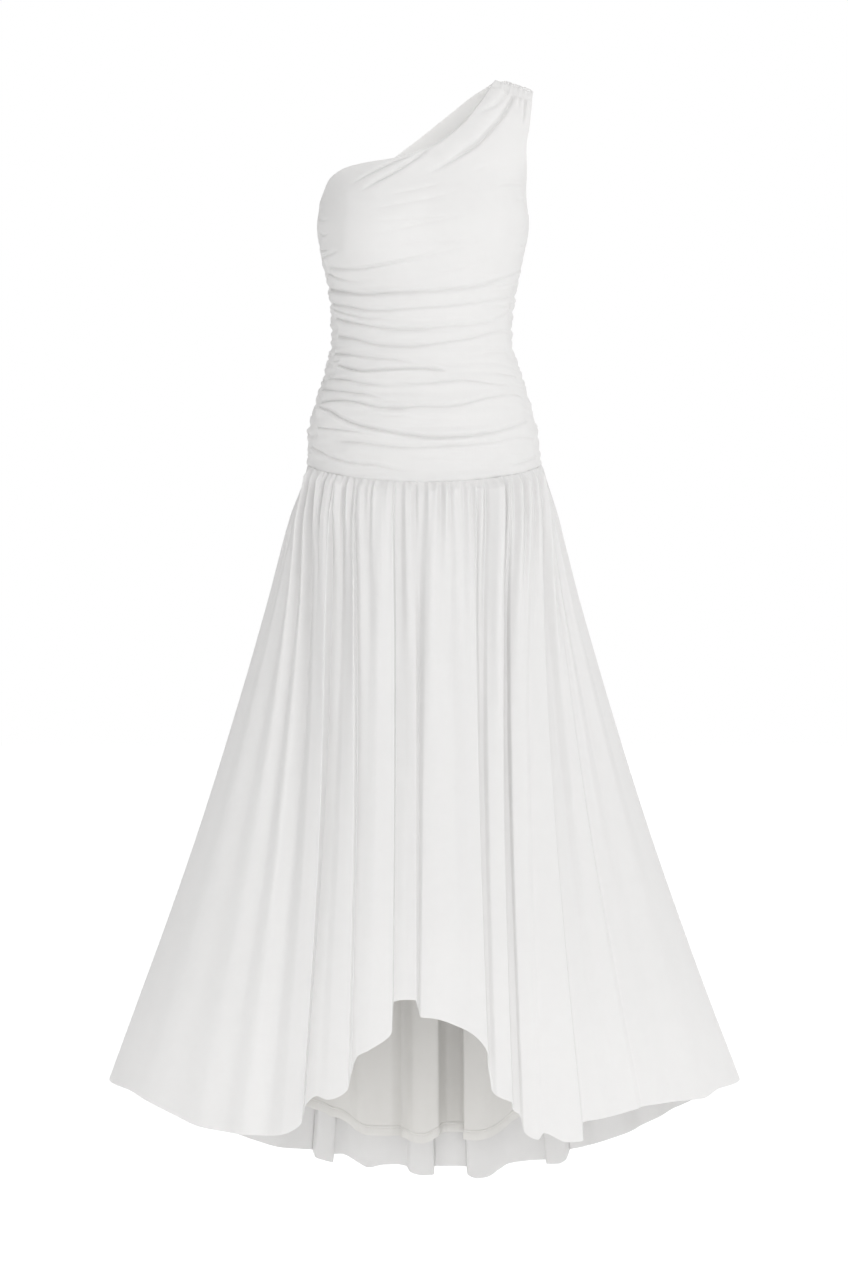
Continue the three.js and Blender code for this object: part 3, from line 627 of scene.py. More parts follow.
@dataclass
class ClothWall:
    """A panel of cloth as a closed thin wall, from a grid of points on its outer face whose rows run up."""

    name: str
    side: Side
    outer: np.ndarray  # rows, columns, xyz, in millimetres
    thickness: np.ndarray | float
    flat: np.ndarray  # rows, columns, and metres along and up the cloth
    inner_step: int = 2  # the inner face takes every second point
    lined: bool = False  # the inner face has a finish of its own; on the bodice it is a brighter one, painted light
    through: np.ndarray | None = None  # outward directions to measure the thickness along, if not the face's own

    def normals(self, grid: np.ndarray) -> np.ndarray:
        """Outward directions at the points of a grid.

        Args:
            grid: Rows and columns of points.

        Returns:
            Unit vectors in the grid's shape.
        """
        across = np.gradient(grid, axis=1)
        up = np.gradient(grid, axis=0)
        out = np.cross(across, up) * -self.side.value
        return out / np.maximum(np.linalg.norm(out, axis=-1, keepdims=True), 1e-9)

    def inner(self, flat_edges: bool = True) -> np.ndarray:
        """The wall's other face, one thickness further in.

        Args:
            flat_edges: Keeps the side edges in the plane of their seams.

        Returns:
            A grid with every inner_step-th row and column.
        """
        out = self.normals(self.outer) if self.through is None else self.through.copy()
        if flat_edges:
            for j in (0, -1):
                seam = np.abs(self.outer[:, j, 1]) < 1.0
                out[seam, j, 1] = 0.0
        out /= np.maximum(np.linalg.norm(out, axis=-1, keepdims=True), 1e-9)
        thick = np.broadcast_to(np.asarray(self.thickness, dtype=float), self.outer.shape[:2])
        grid = self.outer - out * thick[..., None]
        return grid[:: self.inner_step, :: self.inner_step]

    def build(self) -> bpy.types.Object:
        """Makes the wall's mesh, with its flat pattern as a UV map.

        Returns:
            The new object, at the origin.
        """
        inner = self.inner()
        rows, columns = self.outer.shape[0] - 1, self.outer.shape[1] - 1
        step = self.inner_step
        low_rows, low_columns = rows // step, columns // step
        first = (rows + 1) * (columns + 1)
        outer_at = np.arange(first).reshape(rows + 1, columns + 1)
        inner_at = first + np.arange((low_rows + 1) * (low_columns + 1)).reshape(low_rows + 1, low_columns + 1)
        points = np.vstack((self.outer.reshape(-1, 3), inner.reshape(-1, 3)))
        points = (points - ORIGIN) * MM

        outside = np.stack((outer_at[:-1, :-1], outer_at[:-1, 1:], outer_at[1:, 1:], outer_at[1:, :-1]), axis=-1)
        inside = np.stack((inner_at[:-1, :-1], inner_at[1:, :-1], inner_at[1:, 1:], inner_at[:-1, 1:]), axis=-1)
        faces: list[list[int]] = outside.reshape(-1, 4).tolist() + inside.reshape(-1, 4).tolist()
        rims = (
            (outer_at[0, ::-1], inner_at[0, ::-1]),
            (outer_at[-1], inner_at[-1]),
            (outer_at[:, 0], inner_at[:, 0]),
            (outer_at[::-1, -1], inner_at[::-1, -1]),
        )
        for outside_edge, inside_edge in rims:
            for k in range(len(inside_edge) - 1):
                run = outside_edge[k * step : (k + 1) * step + 1]
                faces.append([*run.tolist(), int(inside_edge[k + 1]), int(inside_edge[k])])
        if self.side is Side.BACK:
            faces = [face[::-1] for face in faces]

        mesh = bpy.data.meshes.new(self.name)
        mesh.from_pydata(points.tolist(), [], faces)
        mesh.validate()
        flat = np.vstack((self.flat.reshape(-1, 2), self.flat[::step, ::step].reshape(-1, 2)))
        corners = np.empty(len(mesh.loops), dtype=np.int32)
        mesh.loops.foreach_get("vertex_index", corners)
        layer = mesh.uv_layers.new(name="UVMap")
        layer.data.foreach_set("uv", flat[corners].astype(np.float32).ravel())
        mesh.shade_smooth()
        rim = np.zeros(len(points), dtype=int)  # 1 on the outer face's rim, 2 on the inner face's
        for number, at in ((1, outer_at), (2, inner_at)):
            for line in (at[0], at[-1], at[:, 0], at[:, -1]):
                rim[line] = number
        ends = np.empty(2 * len(mesh.edges), dtype=np.int32)
        mesh.edges.foreach_get("vertices", ends)
        ends = rim[ends.reshape(-1, 2)]
        mesh.edges.foreach_set("use_edge_sharp", (ends[:, 0] == ends[:, 1]) & (ends[:, 0] > 0))
        if self.lined:
            lining = np.zeros(len(faces), dtype=np.int32)
            lining[rows * columns : rows * columns + low_rows * low_columns] = 1
            mesh.polygons.foreach_set("material_index", lining)
        mesh.update()
        piece = bpy.data.objects.new(self.name, mesh)
        bpy.context.scene.collection.objects.link(piece)
        return piece

    def cloth_area(self) -> float:
        """Measures the outer face.

        Returns:
            Square metres of cloth.
        """
        a = self.outer[1:, 1:] - self.outer[:-1, :-1]
        b = self.outer[1:, :-1] - self.outer[:-1, 1:]
        return float(np.linalg.norm(np.cross(a, b), axis=-1).sum() / 2 * MM * MM)


def run_lengths(grid: np.ndarray) -> np.ndarray:
    """Flat coordinates of a grid of cloth.

    Args:
        grid: Rows and columns of points in millimetres.

    Returns:
        Metres along and up the cloth: along from the middle column, measured on the longest row.
    """
    along = np.linalg.norm(np.diff(grid, axis=1), axis=-1)
    longest = int(np.argmax(along.sum(axis=1)))
    across = np.concatenate(([0.0], np.cumsum(along[longest])))
    up = np.concatenate(
        (np.zeros((1, grid.shape[1])), np.cumsum(np.linalg.norm(np.diff(grid, axis=0), axis=-1), axis=0))
    )
    return np.stack((np.broadcast_to(across - across.mean(), up.shape), up), axis=-1) * MM


# --------------------------------------------------------------------------------------------------- panels


@dataclass
class BodicePanel:
    """The front or back of the ruched bodice, from the waist seam to the neckline and half of the strap."""

    side: Side
    neckline: tuple[tuple[float, float], ...]
    belt: tuple[float, float, float, float, float]  # heights where the ruching ends and the chest begins
    creases: tuple[Crease, ...]
    swells: tuple[tuple[float, float, float, float, float], ...] = ()  # x, z, height, half-width, half-height
    # Height, x at its foot and at its top, lowest and highest z
    turns: tuple[tuple[float, float, float, float, float], ...] = ()
    cloth: float = 1.8
    columns: int = 200
    ruched_rows: int = 230
    chest_rows: int = 140
    strap_start: float = 13 / 22
    seam_roll: float = 0.6  # how far the cloth swells just above the waist seam
    gathers_sink: float = 1.4  # how far the cloth sinks between the shoulder's rolls
    gathers: tuple[tuple[float, float, float], ...] = (
        (103.5, 1.6, 30), (109.5, 2.6, 52), (115.5, 2.0, 38), (121, 2.9, 66), (127.5, 1.8, 32), (133.5, 2.8, 60),
        (140.5, 2.1, 46), (147, 1.5, 30),
    )  # the shoulder's small rolls: x, height, and how far down they run
    seam_edges: dict[str, tuple[np.ndarray, np.ndarray]] = field(default_factory=dict)

    def top_edge(self, share: np.ndarray) -> tuple[np.ndarray, np.ndarray]:
        """Places on the panel's top edge: along the neckline first, then along the shoulder seam.

        Args:
            share: Shares of the way across.

        Returns:
            Angles round the form, and heights.
        """
        line = SmoothTable(self.neckline)
        along = np.minimum(share / self.strap_start, 1.0)
        neck = lerp(self.neckline[0][0], SHOULDER_IN[0], (1 - np.cos(math.pi * along)) / 2)
        strap = lerp(SHOULDER_IN[0], SHOULDER_OUT[0], (share - self.strap_start) / (1 - self.strap_start))
        x = np.where(share <= self.strap_start, neck, strap)
        z = np.where(share <= self.strap_start, line.read(x), shoulder_height(x)) + STRAP_LIFT * smooth(
            (x - 84.0) / 34.0
        )
        # Rounded corners at the seam's ends
        for corner, drop, width in ((SHOULDER_IN, 1.0, 3.0), (SHOULDER_OUT, 2.0, 2.5)):
            z = z - drop * np.exp(-(((x - corner[0]) / width) ** 2))
        half = DRESS_FORM.half(np.where(x < 0, 0.0, math.pi), z)
        return np.arccos(np.clip(-x / half, -1, 1)), z

    def places(self) -> tuple[np.ndarray, np.ndarray, np.ndarray]:
        """Spreads the grid over the panel.

        Returns:
            Angles round the form, heights, and the climb from belt to top edge.
        """
        share = np.linspace(0.0, 1.0, self.columns + 1)
        belt = SmoothTable(tuple(zip((0.0, 0.25, 0.5, 0.75, 1.0), self.belt))).read(share)
        waist = waist_height(share * math.pi)
        low = np.linspace(0.0, 1.0, self.ruched_rows, endpoint=False)[:, None]
        low_angle = np.broadcast_to(share * math.pi, (self.ruched_rows, len(share)))
        low_z = lerp(waist, belt, low)

        climb = np.linspace(0.0, 1.0, self.chest_rows + 1)[:, None]
        armhole = SmoothTable(((388, 142), (430, 141), (480, 147), (521, 152)))
        edge_z = lerp(self.belt[4], SHOULDER_OUT[1], climb)
        edge_half = DRESS_FORM.table().read(edge_z, 1)
        edge = np.where(edge_z <= UNDERARM_RIGHT, math.pi, np.arccos(np.clip(-armhole.read(edge_z) / edge_half, -1, 1)))
        top_angle, top_z = self.top_edge(share)
        turned = 1 - (1 - climb) ** lerp(1.0, 1.6, np.minimum(share / self.strap_start, 1.0))
        angle = edge * lerp(share, top_angle / top_angle[-1], turned)
        z = lerp(belt, top_z, climb)
        climbs = np.vstack((np.zeros((self.ruched_rows, 1)), climb))
        return np.vstack((low_angle, angle)), np.vstack((low_z, z)), climbs

    def shape(self) -> ClothWall:
        """Lays the panel on the form, then lifts it along its creases.

        Returns:
            The panel's wall.
        """
        angle, z, climb = self.places()
        base = DRESS_FORM.point(self.side, angle, z)
        wall = ClothWall(
            f"bodice_{self.side.name.lower()}_cloth", self.side, base, self.cloth, run_lengths(base), lined=True,
        )
        out = wall.normals(base)
        sewn = self.sewn_edges(z, climb)
        for j in (0, -1):
            out[sewn[j], j, 1] = 0.0
        strap = np.arange(self.columns + 1) >= self.strap_start * self.columns
        out[0, :, 2] = 0.0
        out /= np.linalg.norm(out, axis=-1, keepdims=True)
        out[-1, strap, 1] = 0.0

        lift = self.relief(angle, z, base)
        wall.outer = base + out * lift[..., None]
        for j in (0, -1):
            wall.outer[sewn[j], j, 1] = self.side.value * SEAM_GAP / 2
        wall.outer[-1, strap, 1] = self.side.value * SEAM_GAP / 2
        wall.outer[0, :, 2] = waist_height(angle[0]) + SEAM_GAP / 6
        wall.thickness = self.wall_thickness(base)
        wall.through = out
        return wall

    def sewn_edges(self, z: np.ndarray, climb: np.ndarray) -> dict[int, np.ndarray]:
        """Finds the rows whose ends lie in a side seam.

        Args:
            z: Heights of the grid.
            climb: The climb of each row.

        Returns:
            The rows by column, 0 for the left end and -1 for the right.
        """
        right = (z[:, -1] <= UNDERARM_RIGHT) | (climb[:, 0] == 0.0)
        return {0: np.ones(len(z), dtype=bool), -1: right}

    def wall_thickness(self, base: np.ndarray) -> np.ndarray:
        """Thickness of the wall, thinner where its edges are rounded.

        Args:
            base: The grid on the form.

        Returns:
            Millimetres at each point.
        """
        top = np.linalg.norm(base - base[-1:], axis=-1)
        return self.cloth - 0.8 * (1.0 - smooth(top / EDGE_TURN))

    def relief(self, angle: np.ndarray, z: np.ndarray, base: np.ndarray) -> np.ndarray:
        """Works out how far the cloth stands off the form.

        Args:
            angle: Angles round the form.
            z: Heights.
            base: The grid on the form.

        Returns:
            Millimetres outwards at each point.
        """
        across = angle / math.pi * BODICE_ROUND
        lift = np.zeros(z.shape)
        for crease in self.creases:
            lift += crease.relief(across, z)
        if self.side is Side.FRONT:
            lift *= lerp(1.35, 0.6, smooth(across / BODICE_ROUND))
        top = np.linalg.norm(base - base[-1:], axis=-1)
        strap_share = np.linspace(0.0, 1.0, self.columns + 1)
        seam_x = lerp(SHOULDER_IN[0], SHOULDER_OUT[0], (strap_share - self.strap_start) / (1 - self.strap_start))
        calm = lerp(0.15, 0.75, smooth((seam_x - SHOULDER_IN[0]) / 8.0))
        lift *= lerp(calm, 1.0, smooth(top / 7.0))
        for x0, z0, height, wide, tall in self.swells:
            lift += height * np.exp(-(((base[..., 0] - x0) / wide) ** 2) - ((z - z0) / tall) ** 2)

        # Where the bust turns towards the side
        for height, foot, crest, low, high in self.turns:
            short = 1.0 - (base[..., 0] - foot) / (crest - foot)
            slope = 1.0 - (short + np.sqrt(short**2 + 0.012)) / 2
            slope = np.maximum(slope, 0.0) * smooth((z - low) / 50.0) * smooth((high - z) / 60.0)
            lift += height * slope * smooth(1.0 - (base[..., 0] - crest) / 120.0)

        # Small rolls that the shoulder seam gathers
        rolls = -self.gathers_sink * smooth(1.0 - top / 45.0)
        for x0, height, length in self.gathers:
            rolls = rolls + height * np.exp(-(((seam_x - x0) / 2.4) ** 2)) * smooth(1.0 - top / length)
        lift += rolls * smooth((seam_x - SHOULDER_IN[0] + 2.0) / 8.0) * (0.7 + 0.3 * smooth(top / 6.0))

        # The seam allowance swells the cloth just above the waist seam, which is turned in at the seam
        height = z - z[:1]
        lift += self.seam_roll * smooth(height / 2.0) * smooth(1.0 - (height - 2.0) / 9.0)
        lift -= SEAM_TURN_IN * (1.0 - smooth(height / 2.0))

        # Soft small rolls of the hand-set ruching, between the long creases
        ruched = smooth((self.belt[2] - 6.0 - z) / 26.0) * lerp(1.0, 0.6, smooth(across / BODICE_ROUND))
        wave = np.sin(z / 1.95 + 2.3 * np.sin(across / 66.0 + 0.4) + 1.1 * np.sin(across / 29.0))
        lift += 0.6 * ruched * wave * (0.5 + 0.5 * np.sin(across / 37.0 + z / 23.0))
        lift += 0.4 * ruched * np.sin(z / 3.4 - across / 47.0 + 0.9 * np.sin(across / 41.0 + 2.0))
        lift += 0.22 * np.sin(across / 23.0 + 1.3 * np.sin(z / 31.0)) * np.sin(
            z / 11.0 + 0.9 * np.sin(across / 47.0 + 0.6)
        )
        self.match_seams(lift, across, z)
        edge = 1.0 - smooth(top / EDGE_TURN)
        return lift - 0.7 * edge

    def match_seams(self, lift: np.ndarray, across: np.ndarray, z: np.ndarray) -> None:
        """Gives both panels the same bumps in the side seams, and a groove along each seam.

        Args:
            lift: The panel's relief, which is changed in place.
            across: Millimetres round the bodice.
            z: Heights.
        """
        for name, j, run in (("left", 0, across), ("right", -1, BODICE_ROUND - across)):
            if name in self.seam_edges:
                heights, bumps = self.seam_edges[name]
                share = smooth(run / 8.0)
                lift[:] = lerp(np.interp(z, heights, bumps), lift, share)
            else:
                self.seam_edges[name] = (z[:, j].copy(), lift[:, j].copy())
        sewn = smooth((UNDERARM_RIGHT - z) / 6.0)
        lift -= 0.4 * (1.0 - smooth(across / 2.2)) + 0.4 * (1.0 - smooth((BODICE_ROUND - across) / 2.2)) * sewn


@dataclass
class SkirtPanel:
    """A panel that hangs from the waist seam, shaped by its fall lines.

    A fall line is seam x, hem x, hem z, and how far the cloth stands out from the form at the hem.
    """

    name: str
    side: Side
    form: Form
    falls: tuple[tuple[float, float, float, float], ...]
    cloth: float
    columns: int
    rows: int
    stand_share: float = 0.6  # folds stand out by this share of the table's figures
    growth: tuple[tuple[float, float], ...] = (
        (0.0, 0.0), (0.05, 0.35), (0.12, 0.72), (0.25, 1.0), (0.42, 1.0), (0.6, 0.8), (0.78, 0.65), (1.0, 0.6),
    )  # how folds deepen on their way down
    gathers: tuple[tuple[float, float, float, float], ...] = ()  # seam x, height, half-width, length
    fine_gathers: int = 0
    fine_height: float = 4.6
    fine_seed: int = 1
    inner_step: int = 2
    hem_band: float = 0.0  # height of a turned-up hem
    hem_extra: float = 0.0  # how much thicker it is
    hem_groove: tuple[float, float] = (0.6, 0.8)  # depth and half-width of the groove that its stitches pull
    pinches: tuple[tuple[float, float, float, float, float, float], ...] = ()  # x, z, x, z, depth and width

    def shares(self) -> np.ndarray:
        """Shares of the way down, from the hem up, closest at both ends and where a turned-up hem ends.

        Returns:
            One share for each row, 1 at the hem and 0 at the waist seam.
        """
        low = np.array((1.0, 0.9985, 0.996))
        if self.hem_band:
            low = np.concatenate((low, (0.992,), np.linspace(0.9898, 0.9768, 17)))
        q = np.linspace(1.0, 0.0, self.rows + 2 - len(low))[1:]
        return np.concatenate((low, q * (0.35 + 0.65 * q) * low[-1]))

    def shape(self) -> ClothWall:
        """Hangs the panel.

        Returns:
            The panel's wall.
        """
        table = np.array(self.falls, dtype=float)
        step = np.diff(table, axis=0) * (0.8, 1.0, 0.4, 1.0)
        run = np.concatenate(([0.0], np.cumsum(np.linalg.norm(step, axis=1))))
        lines = SmoothTable(np.column_stack((run, table)))
        at = np.linspace(0.0, run[-1], self.columns + 1)
        seam, hem, hem_z, stand = (lines.read(at, k) for k in range(4))
        down = self.shares()[:, None]

        seam_half = abs(self.falls[0][0])
        hem_half = self.form.table().read(hem_z, 0)
        share = lerp(seam, hem, down) / lerp(seam_half, hem_half, down)
        angle = np.arccos(np.clip(-share, -1.0, 1.0))
        z = lerp(waist_height(angle), hem_z, down)
        base = self.form.point(self.side, angle, z)
        out = self.outward(base, z)

        lift = self.stand_share * stand * SmoothTable(self.growth).read(down) + self.gathering(angle, down, seam, base)
        lift -= SEAM_TURN_IN * (1.0 - smooth(down * 900.0 / 2.0))
        outer = base + out * lift[..., None]
        for x0, z0, x1, z1, depth, width in self.pinches:
            outer += out * self.pinch(outer, (x0, z0), (x1, z1), depth, width)[..., None]
        for j in (0, -1):
            outer[:, j, 1] = self.side.value * SEAM_GAP / 2
        outer[-1, :, 2] -= SEAM_GAP / 6
        thickness = self.wall_thickness(outer)
        return ClothWall(self.name, self.side, outer, thickness, run_lengths(outer), self.inner_step)

    def outward(self, base: np.ndarray, z: np.ndarray) -> np.ndarray:
        """Level directions away from the middle of the form.

        Args:
            base: The grid on the form.
            z: Its heights.

        Returns:
            Unit vectors.
        """
        half = self.form.table().read(z, 0)
        depth = self.form.depth(self.side, z)
        out = np.stack((base[..., 0] / half**2, base[..., 1] / depth**2, np.zeros(z.shape)), axis=-1)
        return out / np.linalg.norm(out, axis=-1, keepdims=True)

    def gathering(self, angle: np.ndarray, down: np.ndarray, seam: np.ndarray, base: np.ndarray) -> np.ndarray:
        """Lifts the gathers under the waist seam, which die out at different lengths.

        Args:
            angle: Angles round the form.
            down: Shares of the way down.
            seam: Place of each column at the waist seam.
            base: The grid on the form.

        Returns:
            Millimetres outwards at each point.
        """
        radius = (self.form.table().read(base[..., 2], 0) + self.form.depth(self.side, base[..., 2])) / 2
        place = angle * radius
        drop = np.abs(base[..., 2] - base[-1:, :, 2])
        lift = np.zeros(angle.shape)
        edge = smooth(angle / 0.05) * smooth((math.pi - angle) / 0.05)
        for x0, height, half_width, length in self.gathers:
            column = int(np.argmin(np.abs(seam - x0)))
            middle = place[:, column : column + 1]
            width = half_width * (1.0 + 1.1 * down)
            rise = smooth(drop / 14.0) * smooth(1.0 - drop / length) * 0.85 + 0.15 * smooth(1.0 - drop / length)
            lift += height * rise * np.exp(-(((place - middle) / width) ** 2))
        if self.fine_gathers:
            random = np.random.default_rng(self.fine_seed)
            count = self.fine_gathers
            angles = (np.arange(count) + 0.5 + random.uniform(-0.28, 0.28, count)) / count * math.pi
            heights = self.fine_height * random.uniform(0.55, 1.25, count)
            lengths = 90.0 + 330.0 * random.uniform(0.0, 1.0, count) ** 1.5
            widths = random.uniform(2.3, 3.4, count)
            fine = np.zeros(angle.shape)
            top = angle[-1:]
            for a0, height, length, half_width in zip(angles, heights, lengths, widths):
                column = int(np.argmin(np.abs(top[0] - a0)))
                middle = place[:, column : column + 1]
                width = half_width * (1.0 + 2.2 * down)
                fine += height * smooth(1.0 - drop / length) * np.exp(-(((place - middle) / width) ** 2))
            caught = 0.5 + 0.5 * smooth(drop / 6.0)
            lift += (fine - 0.45 * self.fine_height * smooth(1.0 - drop / 260.0)) * caught
        return lift * edge

    def pinch(
        self, grid: np.ndarray, start: tuple[float, float], end: tuple[float, float], depth: float, width: float,
    ) -> np.ndarray:
        """Presses one straight crease between two places in the front view.

        Args:
            grid: The cloth.
            start: Its x and z at one end.
            end: The same at the other end.
            depth: Its depth.
            width: Its half-width.

        Returns:
            Millimetres outwards at each point, below 0 in the crease.
        """
        a, b = np.array(start), np.array(end)
        spot = grid[..., (0, 2)] - a
        step = b - a
        t = np.clip(spot @ step / (step @ step), 0.0, 1.0)
        gap = np.linalg.norm(spot - t[..., None] * step, axis=-1)
        return -depth * np.exp(-((gap / width) ** 2)) * smooth(t / 0.35) * smooth((1.0 - t) / 0.35)

    def wall_thickness(self, grid: np.ndarray) -> np.ndarray:
        """Thickness of the wall, with its turned-up hem and its rounded bottom edge.

        Args:
            grid: The cloth.

        Returns:
            Millimetres at each point.
        """
        up = np.linalg.norm(grid - grid[:1], axis=-1)
        thick = self.cloth - 0.5 * (1.0 - smooth(up / 2.0))
        if self.hem_band:
            thick = thick + self.hem_extra * (1.0 - smooth((up - self.hem_band) / 1.2))
            groove, width = self.hem_groove
            thick = thick - groove * np.exp(-(((up - self.hem_band + STITCH_DROP) / width) ** 2))
        return thick


# ----------------------------------------------------------------------------------------------- materials


class Shade:
    """A shader socket that can be worked with as a number, for maths that varies over a surface."""

    def __init__(self, board: "Board", socket: bpy.types.NodeSocket | None) -> None:
        """Keeps the socket and the board that its node is on."""
        self.board = board
        self.socket = socket

    def join(self, operation: str, *others: "Shade | float") -> "Shade":
        """Adds a Math node on this socket and others.

        Args:
            operation: The Math node's operation.
            *others: Its further inputs.

        Returns:
            The node's result.
        """
        inputs = {k: value for k, value in enumerate((self, *others))}
        return self.board.add("ShaderNodeMath", {"operation": operation}, inputs)

    def __add__(self, other: "Shade | float") -> "Shade":
        """Sum."""
        return self.join("ADD", other)

    __radd__ = __add__

    def __mul__(self, other: "Shade | float") -> "Shade":
        """Product."""
        return self.join("MULTIPLY", other)

    __rmul__ = __mul__

    def __sub__(self, other: "Shade | float") -> "Shade":
        """Difference."""
        return self.join("SUBTRACT", other)

    def __rsub__(self, other: float) -> "Shade":
        """A number less this."""
        return (self * -1.0).join("ADD", other)

    def __truediv__(self, other: "Shade | float") -> "Shade":
        """Quotient."""
        return self.join("DIVIDE", other)

    def __rtruediv__(self, other: float) -> "Shade":
        """A number over this."""
        return self.join("POWER", -1.0) * other

    def __pow__(self, other: float) -> "Shade":
        """Power."""
        return self.join("POWER", other)


class Board:
    """The node board of a material or the world, with one method that makes any node."""

    def __init__(self, owner: bpy.types.Material | bpy.types.World) -> None:
        """Empties the owner's board.

        Args:
            owner: A new material or world.
        """
        owner.use_nodes = True
        self.owner = owner
        self.tree = owner.node_tree
        self.tree.nodes.clear()

    def add(
        self,
        kind: str,
        settings: dict[str, object] | None = None,
        inputs: dict[str | int, object] | None = None,
        output: str | int = 0,
    ) -> Shade:
        """Makes a node.

        Args:
            kind: The node's type.
            settings: Its own settings, set first.
            inputs: Values or links of its sockets, by name or number.
            output: The socket that is handed back.

        Returns:
            That socket, or an empty one on an output node.
        """
        node = self.tree.nodes.new(kind)
        for key, value in (settings or {}).items():
            if key == "stops":
                ramp = node.color_ramp
                while len(ramp.elements) < len(value):
                    ramp.elements.new(0.5)
                for element, (place, colour) in zip(ramp.elements, value):
                    element.position, element.color = place, colour
            else:
                setattr(node, key, value)
        for key, value in (inputs or {}).items():
            socket = node.inputs[key]
            if isinstance(value, Shade):
                self.tree.links.new(value.socket, socket)
            else:
                socket.default_value = value
        return Shade(self, node.outputs[output] if len(node.outputs) else None)

    def show(self, surface: Shade) -> None:
        """Links a shader to the owner's output."""
        kind = "World" if isinstance(self.owner, bpy.types.World) else "Material"
        self.add(f"ShaderNodeOutput{kind}", inputs={"Surface": surface})


@dataclass(frozen=True)
class JerseyFinish:
    """A fine matt knit. Its stitches follow the cloth's flat pattern, its shade wanders slightly, and its colour is a
    little darker where the stitches dip, as painted shade.
    """

    name: str
    light: tuple[float, float, float]
    shade: tuple[float, float, float]
    wale: float = 0.0012  # metres between the columns of stitches
    course: float = 0.0010
    relief: float = 0.00012
    roughness: tuple[float, float] = (0.78, 0.9)
    sheen: float = 0.12
    glow: float = 0.3  # share of the light that passes through

    def material(self) -> bpy.types.Material:
        """Builds the nodes.

        Returns:
            The material.
        """
        board = Board(bpy.data.materials.new(self.name))
        place = board.add("ShaderNodeTexCoord", output="UV")
        body = board.add("ShaderNodeTexCoord", output="Object")
        along = board.add("ShaderNodeSeparateXYZ", inputs={"Vector": place}, output="X")
        up = board.add("ShaderNodeSeparateXYZ", inputs={"Vector": place}, output="Y")

        column = (along / self.wale).join("PINGPONG", 0.5) * 2.0
        row = (up / self.course + column * 0.5).join("PINGPONG", 0.5) * 2.0
        loops = (row * 0.55 + 0.45) * (1.0 - column**3.0)
        slubs = board.add(
            "ShaderNodeTexNoise", {"noise_dimensions": "2D"}, {
                "Vector": place, "Scale": 700.0, "Detail": 3.0, "Roughness": 0.6,
            }
        )
        clouds = board.add(
            "ShaderNodeTexNoise", {"noise_dimensions": "3D"}, {
                "Vector": body, "Scale": 55.0, "Detail": 4.0, "Roughness": 0.55,
            }
        )
        mottle = (clouds - 0.5) * 1.1 + (slubs - 0.5) * 0.9 + 0.5
        # The colour wanders at random with the mottle, and a fifth of it follows the stitches' relief: painted shade
        # between the stitches.
        colour = board.add(
            "ShaderNodeMix",
            {"data_type": "RGBA", "clamp_factor": True},
            {0: mottle * 0.8 + loops * 0.2, 6: (*self.shade, 1.0), 7: (*self.light, 1.0)},
            output=2,
        )
        rough = lerp_shade(self.roughness, mottle)
        bump = board.add(
            "ShaderNodeBump", inputs={"Strength": 0.35, "Distance": self.relief, "Height": loops * 0.7 + slubs * 0.6}
        )
        cloth = board.add(
            "ShaderNodeBsdfPrincipled",
            inputs={
                "Base Color": colour,
                "Roughness": rough,
                "Normal": bump,
                "Sheen Weight": self.sheen,
                "Sheen Roughness": 0.45,
                "Specular IOR Level": 0.25,
            },
        )
        surface = cloth
        if self.glow:
            through = board.add("ShaderNodeBsdfTranslucent", inputs={"Color": (*self.shade, 1.0), "Normal": bump})
            surface = board.add("ShaderNodeMixShader", inputs={0: self.glow, 1: cloth, 2: through})
        board.show(surface)
        return board.owner


def lerp_shade(ends: tuple[float, float], mask: Shade) -> Shade:
    """Mixes two numbers by a mask that varies over the surface."""
    return mask * (ends[1] - ends[0]) + ends[0]


BODICE_JERSEY = JerseyFinish("white_ruched_jersey", (0.825, 0.82, 0.815), (0.785, 0.78, 0.775))
# The bodice's inner face is set much brighter than its outer cloth: painted light on the inside seen through the
# neckline.
BODICE_INSIDE = JerseyFinish("white_bodice_inside_painted_light", (0.96, 0.955, 0.945), (0.93, 0.925, 0.915), sheen=0.05, glow=0.05)
SKIRT_JERSEY = JerseyFinish("white_gathered_jersey", (0.85, 0.845, 0.84), (0.81, 0.805, 0.80))
# The lining is set a little brighter than the skirt's cloth: painted light on it, against the skirt below its hem in
# shade.
LINING_JERSEY = JerseyFinish("white_lining_jersey_painted_light", (0.87, 0.86, 0.84), (0.83, 0.82, 0.80), sheen=0.05)


# --------------------------------------------------------------------------------------------- the assembly


